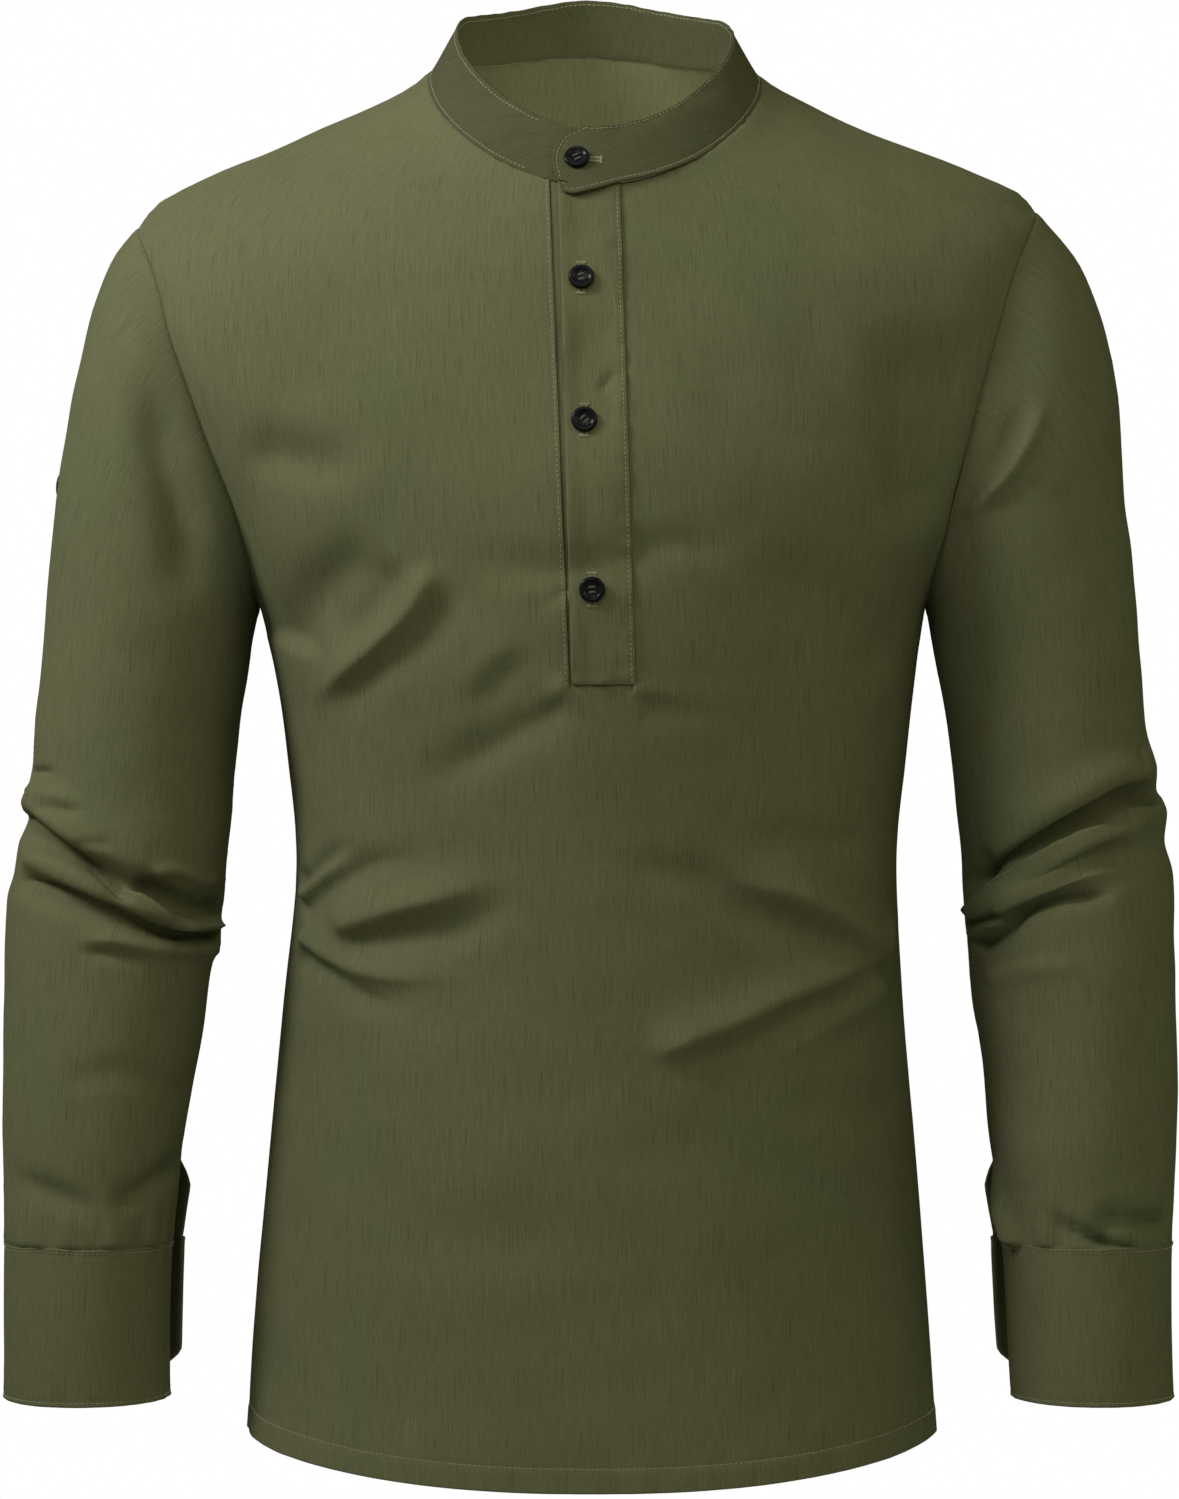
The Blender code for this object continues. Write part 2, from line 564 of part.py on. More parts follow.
def make_cuff(name, table, side, taper, home, cloth):
    """A band once round the wrist and on, its outer end standing off its inner end."""
    wrist = table[-1]
    grid = []
    for height in CUFF_ROWS:
        drop = CUFF_HEIGHT * height
        inner_x = wrist.inner_x + taper * height
        ring = wrist._replace(outer_z=wrist.outer_z - drop, inner_z=wrist.inner_z - drop, inner_x=inner_x)
        # The outer end's lower corner is rounded off.
        short = FLAP_CORNER / wrist.back * smooth((height - CORNER_START) / (1 - CORNER_START)) ** 2
        turns = np.linspace(FLAP_END + short, 2 * math.pi + UNDER_END, CUFF_COLUMNS + 1)
        grid.append([sleeve_point(ring, turn, side, flap_lift(turn)) for turn in turns])
    grid = side_order(set_back(grid, "first"), side)
    return make_sheet(name, grid, BAND_WALL, home, cloth(name))


def make_button(name, home, look):
    """A round button with a raised rim and four holes, standing on its own origin."""
    data = bpy.data.meshes.new(name)
    points = [(share * BUTTON_RADIUS, 0, height) for share, height in BUTTON_PROFILE]
    edges = [(i, i + 1) for i in range(len(points) - 1)]
    data.from_pydata(points, edges, [])
    data.materials.append(look)
    obj = bpy.data.objects.new(name, data)
    home.objects.link(obj)
    screw = obj.modifiers.new("turn", "SCREW")
    screw.steps = screw.render_steps = BUTTON_SIDES
    screw.use_merge_vertices = True
    screw.merge_threshold = MERGE_DISTANCE
    drill = obj.modifiers.new("holes", "BOOLEAN")
    drill.operation = "DIFFERENCE"
    drill.object = bpy.data.objects["button_drill"]
    return obj


def make_drill(home):
    """Four upright pins that cut a button's holes."""
    mesh = bmesh.new()
    for i in range(4):
        made = bmesh.ops.create_cone(
            mesh,
            cap_ends=True,
            segments=HOLE_SIDES,
            radius1=HOLE_RADIUS,
            radius2=HOLE_RADIUS,
            depth=DRILL_LENGTH,
        )
        turn = math.pi / 4 + i * math.pi / 2
        middle = Vector((math.cos(turn), math.sin(turn), 0)) * HOLE_PITCH / math.sqrt(2)
        bmesh.ops.translate(mesh, verts=made["verts"], vec=middle)
    data = bpy.data.meshes.new("button_drill")
    mesh.to_mesh(data)
    mesh.free()
    drill = bpy.data.objects.new("button_drill", data)
    drill.display_type = "WIRE"
    drill.hide_render = True
    home.objects.link(drill)


def seat(button, panel, target, direction):
    """Stand a button on a panel's outer face, where a line through target along direction meets it."""
    graph = bpy.context.evaluated_depsgraph_get()
    tree = BVHTree.FromObject(panel, graph)
    direction = Vector(direction).normalized()
    point, normal, _, _ = tree.ray_cast(Vector(target) - direction * RAY_START, direction)
    button.rotation_mode = "QUATERNION"
    button.rotation_quaternion = normal.to_track_quat("Z", "Y")
    button.location = point + normal * LAYER_GAP


def make_buttons(home, look, collar, placket, sleeves, cuffs):
    """One on the collar, three down the placket, and one on each sleeve and each cuff."""
    x, height = COLLAR_BUTTON
    neck = TORSO[-1]
    target = band_point(angle_at(neck, x), height, 0)
    seat(make_button("button_collar", home, look("button_collar")), collar, target, (0, 1, 0))
    for i, (x, z) in enumerate(PLACKET_BUTTONS, 1):
        name = f"button_placket_{i}"
        seat(make_button(name, home, look(name)), placket, (x, 0, z), (0, 1, 0))
    for label, side, table in (("left", 1, SLEEVE_LEFT), ("right", -1, SLEEVE_RIGHT)):
        name = f"button_sleeve_{label}"
        turn = SLEEVE_BUTTON_TURN[label]
        arm = table[row_of(table, "upper_2")]
        target = sleeve_point(arm, turn, side)
        target.z = SLEEVE_BUTTON_Z[label]
        inwards = (-side * math.cos(turn), math.sin(turn), 0)
        seat(make_button(name, home, look(name)), sleeves[label], target, inwards)
        name = f"button_cuff_{label}"
        across, ahead = math.cos(CUFF_BUTTON_TURN), math.sin(CUFF_BUTTON_TURN)
        wrist = table[-1]
        middle = (wrist.outer_x + wrist.inner_x) / 2 * side
        target = (middle, wrist.centre_y, wrist.outer_z - CUFF_HEIGHT * CUFF_BUTTON_DROP)
        seat(make_button(name, home, look(name)), cuffs[label], target, (-side * across, ahead, 0))


def main():
    clear_scene()
    home = make_collection("linen_shirt")
    make_drill(make_collection("cutters"))

    def cloth(name):
        return make_material(f"{name}_linen", CLOTH_COLOUR, CLOTH_ROUGHNESS)

    def gloss(name):
        return make_material(f"{name}_plastic", BUTTON_COLOUR, BUTTON_ROUGHNESS)

    front = torso_grid(front=True)
    make_torso(front, home, cloth)
    placket = make_placket(front, home, cloth)
    collar = make_collar(home, cloth)
    sleeves, cuffs = {}, {}
    for label, side, table in (("left", 1, SLEEVE_LEFT), ("right", -1, SLEEVE_RIGHT)):
        sleeves[label] = make_sleeve(f"sleeve_{label}", table, side, home, cloth)
        cuffs[label] = make_cuff(f"cuff_{label}", table, side, CUFF_TAPER[label], home, cloth)
    make_buttons(home, gloss, collar, placket, sleeves, cuffs)


main()
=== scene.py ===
"""The dressed shirt: fine linen panels, their folds and stitches, and glossy buttons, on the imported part.

Metres, +Z up. The shirt faces -Y and the wearer's left is +X. The panels repeat the rings that the
part's solids are lofted through, on finer grids, and add the folds that the solids leave out.
"""

import math
from collections import namedtuple

import bpy
import numpy as np
from mathutils import Matrix, Vector
from mathutils.bvhtree import BVHTree


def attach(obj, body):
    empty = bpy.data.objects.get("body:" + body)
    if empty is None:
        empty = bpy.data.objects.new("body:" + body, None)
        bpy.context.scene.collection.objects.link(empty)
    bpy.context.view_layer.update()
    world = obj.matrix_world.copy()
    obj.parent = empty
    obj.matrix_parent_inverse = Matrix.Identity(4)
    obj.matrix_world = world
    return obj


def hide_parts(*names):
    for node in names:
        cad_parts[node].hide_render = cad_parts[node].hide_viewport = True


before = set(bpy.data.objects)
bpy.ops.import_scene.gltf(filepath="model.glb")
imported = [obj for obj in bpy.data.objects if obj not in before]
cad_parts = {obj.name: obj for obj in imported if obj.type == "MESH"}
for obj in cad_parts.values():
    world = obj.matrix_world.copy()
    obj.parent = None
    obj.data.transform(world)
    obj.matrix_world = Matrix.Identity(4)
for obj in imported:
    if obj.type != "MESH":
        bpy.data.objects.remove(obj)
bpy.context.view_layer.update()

FULL_TURN = 2 * math.pi


def in_metres(kind, rows, plain=0):
    """A table's rows, turned from millimetres. The last plain columns have no unit."""
    cut = len(kind._fields) - plain
    return [kind(row[0], *(number / 1000 for number in row[1:cut]), *row[cut:]) for row in rows]


def row_of(table, name):
    return [row.name for row in table].index(name)


# ---- The part's own numbers, repeated so that the fine panels lie where its solids do.

# The torso's rings from hem to neck, in millimetres. Left and right ends are as seen from the front, and
# front and back ends as seen from the side. Sag is how far a ring drops between its sides and the middle
# of its back. Power 2 is an ellipse, and more is squarer.
Section = namedtuple("Section", "name left_x left_z right_x right_z front_y front_z back_y back_z sag power")
TORSO_ROWS = [
    ("hem", -175.2, -683.5, 175.2, -683.5, -119, -698, 110, -704, 0, 2.35),
    ("tail", -171.6, -629, 171.6, -629, -117, -639, 106, -642, 0, 2.35),
    ("hip", -164.5, -549, 165.5, -549, -114, -556, 99, -556, 0, 2.3),
    ("belly", -156.8, -467, 158.5, -467, -110, -472, 90, -472, 0, 2.25),
    ("waist", -150, -397, 155.3, -397, -109, -401, 87, -401, 0, 2.25),
    ("ribs", -154.5, -345, 160, -345, -116, -348, 97, -348, 0, 2.3),
    ("chest", -160, -304, 164.5, -304, -122, -307, 108, -306, 0, 2.35),
    ("underarm", -169.3, -264.7, 170, -264.7, -125, -269, 116, -264, 0, 2.35),
    ("armhole_low", -187, -219, 189, -219, -125, -231, 120, -217, 0, 2.35),
    ("armhole_mid", -213, -167, 208.5, -167, -120, -188, 120, -162, 0, 2.3),
    ("armhole_high", -230.5, -112.5, 223, -108, -110, -144, 114, -102, 0, 2.25),
    ("shoulder_point", -230.8, -72.8, 226.2, -64.8, -102, -113, 105, -56, 0, 2.15),
    ("shoulder_outer", -190.8, -45.2, 192, -44, -96, -96, 98, -30, 0, 2.1),
    ("shoulder_mid", -146.9, -29.8, 147.4, -28, -91, -82, 91, -5, 0, 2.05),
    ("shoulder_inner", -109.2, -14, 110, -13.4, -87, -71.5, 84, 14.2, 2, 2),
    ("neck", -83, 2.4, 86.6, 0, -84, -62, 78, 27, 5.5, 1.9),
]
TORSO = in_metres(Section, TORSO_ROWS, plain=1)
NECK = TORSO[-1]
UNDERARM, SHOULDER = row_of(TORSO, "underarm"), row_of(TORSO, "shoulder_point")

# Each sleeve's rings from armhole to wrist, in millimetres. Outer and inner are a ring's ends as seen from
# the front, with x as a distance from the middle of the shirt. Front and back are its reach along Y from
# centre_y, and front_z is how far the middle of its front rises. The elbow's folds have rows of their own.
Ring = namedtuple("Ring", "name outer_x outer_z inner_x inner_z front back centre_y front_z")
LEFT_ROWS = [  # the wearer's left, at +X
    ("armhole", 226.2, -64.8, 170, -264.7, 57, 60, 0, 0),
    ("cap", 241.5, -80, 170.8, -266.5, 62, 64, 1, 0),
    ("deltoid", 256.5, -111, 171.4, -269, 65, 67, 1, 0),
    ("upper_1", 265.5, -152, 171.8, -272, 65, 67, 0, 0),
    ("upper_2", 270.8, -202, 172.7, -277, 64, 65, 0, 0),
    ("upper_3", 277.2, -260, 175.7, -292, 61, 61, -1, 0),
    ("upper_4", 280.8, -312, 181.2, -326, 57, 57, -3, 0),
    ("elbow_top", 282.4, -330, 185.2, -362, 56, 56, -4, 2),
    ("elbow_bulge", 287.2, -349, 189.2, -400, 59, 56, -5, 6),
    ("elbow_crease", 287.8, -359, 189.6, -418, 51, 54, -5, 8),
    ("elbow_ridge", 292.2, -372, 190, -427, 58, 54, -6, 8),
    ("elbow_fold", 291.2, -385, 191.5, -435, 51, 53, -7, 6),
    ("forearm_1", 295.6, -404, 192.6, -446, 54, 52, -9, 4),
    ("forearm_2", 296.2, -445, 194.8, -468, 52, 50, -13, 2),
    ("forearm_3", 295.1, -498, 199.1, -506, 49, 48, -19, 0),
    ("slit_top", 294, -534, 200.6, -537, 46, 46, -24, 0),
    ("slit_mid", 293.1, -560, 204, -561, 43, 43, -27, 2),
    ("wrist", 292, -587, 206.4, -587, 40, 40, -30, 0),
]
RIGHT_ROWS = [
    ("armhole", 230.8, -72.8, 169.3, -264.7, 57, 60, 0, 0),
    ("cap", 242.5, -86, 169.8, -266.5, 62, 64, 1, 0),
    ("deltoid", 253.8, -113, 170.1, -269, 65, 67, 1, 0),
    ("upper_1", 262.5, -152, 170.6, -272, 65, 67, 0, 0),
    ("upper_2", 271, -202, 171.5, -277, 64, 65, 0, 0),
    ("upper_3", 277.2, -260, 174, -292, 61, 61, -1, 0),
    ("upper_4", 281.8, -312, 179, -326, 57, 57, -3, 0),
    ("elbow_top", 284.6, -345, 183.2, -372, 56, 56, -4, -2),
    ("elbow_bulge", 288.6, -364, 186.6, -401, 59, 56, -5, -7),
    ("elbow_crease", 286.8, -372, 188, -416, 51, 54, -6, -9),
    ("elbow_ridge", 291.6, -386, 189.2, -427, 58, 54, -6, -6),
    ("elbow_fold", 293.2, -401, 189.4, -437, 51, 53, -7, -3),
    ("forearm_1", 296.2, -416, 193, -448, 54, 52, -9, 0),
    ("forearm_2", 297, -453, 195.4, -470, 52, 50, -13, 0),
    ("forearm_3", 297.2, -501, 201, -508, 49, 48, -19, 0),
    ("slit_top", 296.7, -534, 205.6, -537, 46, 46, -24, 0),
    ("slit_mid", 296, -560, 208, -561, 43, 43, -27, 2),
    ("wrist", 295.3, -587, 210.5, -587, 40, 40, -30, 0),
]
SLEEVES = {"left": in_metres(Ring, LEFT_ROWS), "right": in_metres(Ring, RIGHT_ROWS)}
SIDES = {"left": 1, "right": -1}  # the sign of x on each side

ARMHOLE_FRONT, ARMHOLE_BACK = 0.057, 0.060  # how far the armhole reaches from the middle of the side
CAP_RINGS = 5  # rows over which the armhole's own curve dies out along the sleeve
CUFF_HEIGHT = 0.0765
CUFF_TAPER = {"left": 0.0055, "right": 0.0020}
# The cuff's and sleeve's flap stands off behind, over the slit. Turns start at the outer side, by the front.
FLAP_END, FLAP_SPREAD, FLAP_STAND_OFF = math.radians(205), math.radians(95), 0.0085
FLAP_CORNER = 0.011  # how much shorter the flap is at its lower corner
CORNER_START, CORNER_END = 0.72, 0.88  # in shares of the cuff's height
UNDER_END = math.radians(238)  # where the cuff's lower layer ends
SLIT_TURN, SLIT_WIDTH = math.radians(216), math.radians(4)
SLIT_LEAD = math.radians(10)  # the slit's back edge comes forward to the cuff's end
SLIT_STAND_OFF = (0, 1.15, 1.0)  # the flap's share at the slit's top, middle and end
BAND_HEIGHT, BAND_RISE, BAND_SIDE = 0.0325, 0.002, 0.004  # at the back, more in front, less at the sides
BAND_LEAN = math.radians(30)
BAND_UNDER_END = 0.0130  # x where the collar band's lower layer ends
BAND_CLEAR, BAND_FADE = 0.0040, math.radians(45)  # where the lift of the upper layer starts and dies out
BAND_LIFT = 0.0022  # how far the upper layer's face stands outside the lower layer's
BAND_DIP = 0.0072  # the over end's lower corner hangs below the neck line
BAND_DIP_END = 0.0150  # x where the base is back on the neck line
# The rounded over end's outline, as shares of the band's height and x.
BAND_OVER_END = ((0.0, -0.0128), (0.22, -0.0178), (0.50, -0.0202), (0.78, -0.0165), (1.0, -0.0040))
PLACKET_BOTTOM = -0.3075
# Upright lines, as x at the placket's top and bottom.
PLACKET_LEFT, PLACKET_RIGHT, PLACKET_EDGE = (-0.0208, -0.0108), (0.0122, 0.0194), (-0.0158, -0.0090)
PLACKET_LAP = 0.0014  # the upper strip past the opening's right edge
STRIP_LIFT = 0.0016  # the upper strip's face above the front's
STRIP_STITCH = 0.0013  # the strip's stitch line from its sewn edge
SEAM_STITCH = 0.0014  # the front's stitch line beside the placket's left seam
TOP_BUTTON_Z, GAPE_PERIOD = -0.1090, 0.0765  # the strip's free edge gapes between buttons

# ---- Grids.

# The torso's coarse grid, which is eased and then read finely.
ROWS_BODY, ROWS_ARMHOLE, ROWS_SHOULDER = 26, 20, 10
COLUMNS_SIDE, COLUMNS_PLACKET, COLUMNS_BACK = 16, 4, 36
COLUMNS_FRONT = 2 * COLUMNS_SIDE + COLUMNS_PLACKET
PLACKET_FIRST, PLACKET_LAST = COLUMNS_SIDE, COLUMNS_SIDE + COLUMNS_PLACKET
PLACKET_NEAR = 6  # coarse columns beside the placket that its own columns are read from
RELAX_TIMES, RELAX_SHARE, RELAX_COLUMNS = 22, 0.8, 6

FRONT_STEP, BACK_STEP = 0.25, 0.30  # fine steps, in columns of the coarse grid
NEAR_EDGE = (0.0, 0.05, 0.10, 0.16, 0.23, 0.33, 0.46)  # closer steps beside an edge
LEVEL_ROW = 12  # the coarse row along which the weave is level
WALL, BAND_WALL, STRIP_WALL = 0.0010, 0.0016, 0.0013
RIM_BULGE = 0.35  # how far an edge is rounded, in walls


def smooth_step(t):
    t = np.clip(t, 0.0, 1.0)
    return t * t * (3 - 2 * t)


def bell(distance, width):
    """1 on a line, and dying out over a width beside it."""
    return np.exp(-((distance / width) ** 2))


def unit(vectors):
    return vectors / np.maximum(np.linalg.norm(vectors, axis=-1, keepdims=True), 1e-12)


def read_at(x, xs, rows):
    """Points where xs reaches x, along a row of points."""
    return np.stack([np.interp(x, xs, rows[:, axis]) for axis in range(3)], axis=-1)


def curve(values, slopes, at):
    """The values at fractional rows, on smooth curves with these slopes."""
    at = np.asarray(at, float)
    row = np.clip(at.astype(int), 0, len(values) - 2)
    t = (at - row).reshape(at.shape + (1,) * (values.ndim - 1))
    return (
        (2 * t**3 - 3 * t**2 + 1) * values[row]
        + (t**3 - 2 * t**2 + t) * slopes[row]
        + (3 * t**2 - 2 * t**3) * values[row + 1]
        + (t**3 - t**2) * slopes[row + 1]
    )


def read_table(table, at):
    """The table's numbers at fractional rows, each shaped like at, on curves that never overshoot."""
    values = np.array([row[1:] for row in table], float)
    steps = np.diff(values, axis=0)
    same_way = steps[:-1] * steps[1:] > 0
    total = np.where(same_way, steps[:-1] + steps[1:], 1)
    inner = np.where(same_way, 2 * steps[:-1] * steps[1:] / total, 0)
    made = curve(values, np.vstack([steps[:1], inner, steps[-1:]]), at)
    return type(table[0])("", *np.moveaxis(made, -1, 0))


def read_along(points, at, axis):
    """The points at fractional places along one axis, on smooth curves through them."""
    points = np.moveaxis(points, axis, 0)
    return np.moveaxis(curve(points, np.gradient(points, axis=0), at), 0, axis)


def read_grid(points, rows, columns):
    return read_along(read_along(points, rows, 0), columns, 1)


def torso_point(ring, angle):
    """Points of torso rings. Angle 0 is the front, and a quarter turn is the wearer's left."""
    sin, cos = np.sin(angle), np.cos(angle)
    side, ahead = (np.sign(n) * np.abs(n) ** (2 / ring.power) for n in (sin, cos))
    x = side * np.where(side > 0, ring.right_x, -ring.left_x)
    y = ahead * np.where(ahead > 0, ring.front_y, -ring.back_y)
    sides, ends = (ring.left_z + ring.right_z) / 2, (ring.front_z + ring.back_z) / 2
    z = (
        (sides + ends) / 2
        + (ring.front_z - ring.back_z) / 2 * cos
        + (ring.right_z - ring.left_z) / 2 * sin
        + (ends - sides) / 2 * np.cos(2 * angle)
        - ring.sag * np.sin(2 * angle) ** 2 * (cos < 0)
    )
    return np.stack([x, y, z], axis=-1)


def angle_at(ring, x):
    """The angle at which a torso ring's front reaches x."""
    reach = np.where(np.asarray(x) > 0, ring.right_x, -ring.left_x)
    return np.sign(x) * np.arcsin((np.abs(x) / reach) ** (ring.power / 2))


def armhole_rows(share):
    """Fractional rows of TORSO at shares of the way up the armhole."""
    return UNDERARM + (SHOULDER - UNDERARM) * (1 - np.cos(np.pi * share)) / 2


def torso_rows():
    """Where each coarse row is in TORSO, and its share of the way up the armhole (0 off it)."""
    share = np.arange(ROWS_ARMHOLE + 1) / ROWS_ARMHOLE
    body = UNDERARM * np.arange(ROWS_BODY) / ROWS_BODY
    top = SHOULDER + (len(TORSO) - 1 - SHOULDER) * np.arange(1, ROWS_SHOULDER + 1) / ROWS_SHOULDER
    return np.concatenate([body, armhole_rows(share), top]), np.concatenate([body * 0, share, top * 0])


def edge_angle(ring, share, front):
    """How far round a panel reaches: a quarter turn at the seams, and less beside the armhole."""
    depth = ARMHOLE_FRONT if front else ARMHOLE_BACK
    reach = -ring.front_y if front else ring.back_y
    return np.arccos(np.clip(depth * np.sin(np.pi * share) / reach, 0, 1) ** (ring.power / 2))


def placket_x(ends, z):
    """An upright line's x at height z, from its x at the neck and at the placket's bottom."""
    share = np.clip((NECK.front_z - z) / (NECK.front_z - PLACKET_BOTTOM), 0, 1)
    return ends[0] + (ends[1] - ends[0]) * share


def eased(points):
    """The grid with its inner points drawn towards their neighbours, so that no ring shows."""
    last = points.shape[1] - 1
    from_edge = np.minimum(np.arange(1, last), last - np.arange(1, last))
    share = RELAX_SHARE * np.minimum(1, from_edge / RELAX_COLUMNS)[None, :, None]
    for _ in range(RELAX_TIMES):
        across = (points[1:-1, :-2] + points[1:-1, 2:]) / 2
        along = (points[:-2, 1:-1] + points[2:, 1:-1]) / 2
        points[1:-1, 1:-1] += share * ((across + along) / 2 - points[1:-1, 1:-1])
    return points


def coarse_front():
    at, share = torso_rows()
    ring = read_table(TORSO, at)
    edge = edge_angle(ring, share, front=True)
    left, right = (angle_at(ring, placket_x(ends, ring.front_z)) for ends in (PLACKET_LEFT, PLACKET_RIGHT))
    parts = ((-edge, left, COLUMNS_SIDE), (left, right, COLUMNS_PLACKET), (right, edge, COLUMNS_SIDE))
    angles = [np.linspace(start, end, count + 1, axis=1)[:, :-1] for start, end, count in parts]
    angles = np.concatenate([*angles, edge[:, None]], axis=1)
    points = eased(torso_point(read_table(TORSO, at[:, None]), angles))
    for row in points:
        ends = [placket_x(line, row[PLACKET_FIRST, 2]) for line in (PLACKET_LEFT, PLACKET_RIGHT)]
        span = row[PLACKET_FIRST - PLACKET_NEAR : PLACKET_LAST + PLACKET_NEAR + 1].copy()
        places_across = np.linspace(*ends, COLUMNS_PLACKET + 1)
        row[PLACKET_FIRST : PLACKET_LAST + 1] = read_at(places_across, span[:, 0], span)
    return points


def coarse_back():
    at, share = torso_rows()
    edge = edge_angle(read_table(TORSO, at), share, front=False)
    angles = math.pi + np.linspace(-edge, edge, COLUMNS_BACK + 1, axis=1)
    return eased(torso_point(read_table(TORSO, at[:, None]), angles))


def places(start, end, step, near_start=NEAR_EDGE, near_end=None):
    """Fractional places from start to end, a step apart, and closer beside the ends."""
    near_end = near_start if near_end is None else near_end
    inner = np.linspace(start + near_start[-1], end - near_end[-1], max(2, round((end - start) / step)))
    return np.concatenate([start + np.array(near_start[:-1]), inner, end - np.array(near_end[:-1])[::-1]])


def nearest(values, at):
    return int(np.argmin(np.abs(values - at)))


def outward(points, tube_rows=0):
    """Each grid point's outward direction. The first tube_rows rows are closed round."""
    along, across = np.gradient(points, axis=0), np.gradient(points, axis=1)
    if tube_rows:
        joined = (points[:tube_rows, 1] - points[:tube_rows, -2]) / 2
        mean = (along[:tube_rows, 0] + along[:tube_rows, -1]) / 2
        for edge in (0, -1):
            across[:tube_rows, edge] = joined
            along[:tube_rows, edge] = mean
    return unit(np.cross(across, along))


def lengths(points, axis=0):
    """How far along its row, column or path each point lies."""
    steps = np.linalg.norm(np.diff(points, axis=axis), axis=-1)
    start = np.zeros_like(np.take(steps, [0], axis=axis))
    return np.cumsum(np.concatenate([start, steps], axis=axis), axis=axis)


def edge_distances(points):
    """Each point's distance from the grid's first row, last row, first column and last column."""
    down, across = lengths(points, 0), lengths(points, 1)
    return down, down[-1:] - down, across, across[:, -1:] - across


def ripples(points, wavelength, seed, stretch=(1, 1, 1), waves=28):
    """A smooth random swell of unit size over space."""
    rng = np.random.default_rng(seed)
    ways = unit(rng.normal(size=(waves, 3))) * np.array(stretch)
    ways *= FULL_TURN / wavelength * rng.uniform(0.7, 1.4, (waves, 1))
    phases = rng.uniform(0, FULL_TURN, waves)
    return np.sin(points @ ways.T + phases).sum(-1) / math.sqrt(waves / 2)


# ---- Folds.

# A fold follows a bent line in a panel's own plane. Its height is out of the cloth, and left and right are
# how wide it is on the line's two sides, looking from its start. Sharp 2 is a soft swell and 1 a creased
# edge. It grows over its fade-in share of the line and dies out over its fade-out share.
Fold = namedtuple("Fold", "height left right sharp fade_in fade_out line")


def fold(height, left, right, sharp, fade_in, fade_out, *line):
    """A fold from its sizes and its line's x, z, x, z and so on, in millimetres, as seen from the front."""
    sizes = (size / 1000 for size in (height, left, right))
    return Fold(*sizes, sharp, fade_in, fade_out, np.reshape(line, (-1, 2)) / 1000)


def line_distance(here, line):
    """Signed distance (left of the line is positive) and share of the line's length, nearest to here."""
    starts = lengths(line)
    best = np.full(here.shape[:-1], np.inf)
    signed, along = np.zeros_like(best), np.zeros_like(best)
    for a, b, start in zip(line, line[1:], starts):
        span = np.linalg.norm(b - a)
        way = (b - a) / span
        offset = here - a
        t = np.clip(offset @ way, 0, span)
        distance = np.linalg.norm(offset - t[..., None] * way, axis=-1)
        side = np.sign(way[0] * offset[..., 1] - way[1] * offset[..., 0])
        nearer = distance < best
        best = np.where(nearer, distance, best)
        signed = np.where(nearer, distance * side, signed)
        along = np.where(nearer, (start + t) / starts[-1], along)
    return signed, along


def smooth_line(line, parts=8):
    """The bent line with its corners rounded."""
    if len(line) < 3:
        return line
    at = np.linspace(0, len(line) - 1, (len(line) - 1) * parts + 1)
    return read_along(line[:, None, :], at, 0)[:, 0, :]


def fold_heights(points, folds):
    """How far the folds push each point out, from its x and z."""
    total = np.zeros(points.shape[:-1])
    for each in folds:
        signed, along = line_distance(points[..., [0, 2]], smooth_line(each.line))
        width = np.where(signed > 0, each.left, each.right)
        shape = np.exp(-((np.abs(signed) / width) ** each.sharp))
        fade = smooth_step(along / each.fade_in) * smooth_step((1 - along) / each.fade_out)
        total += each.height * shape * fade
    return total


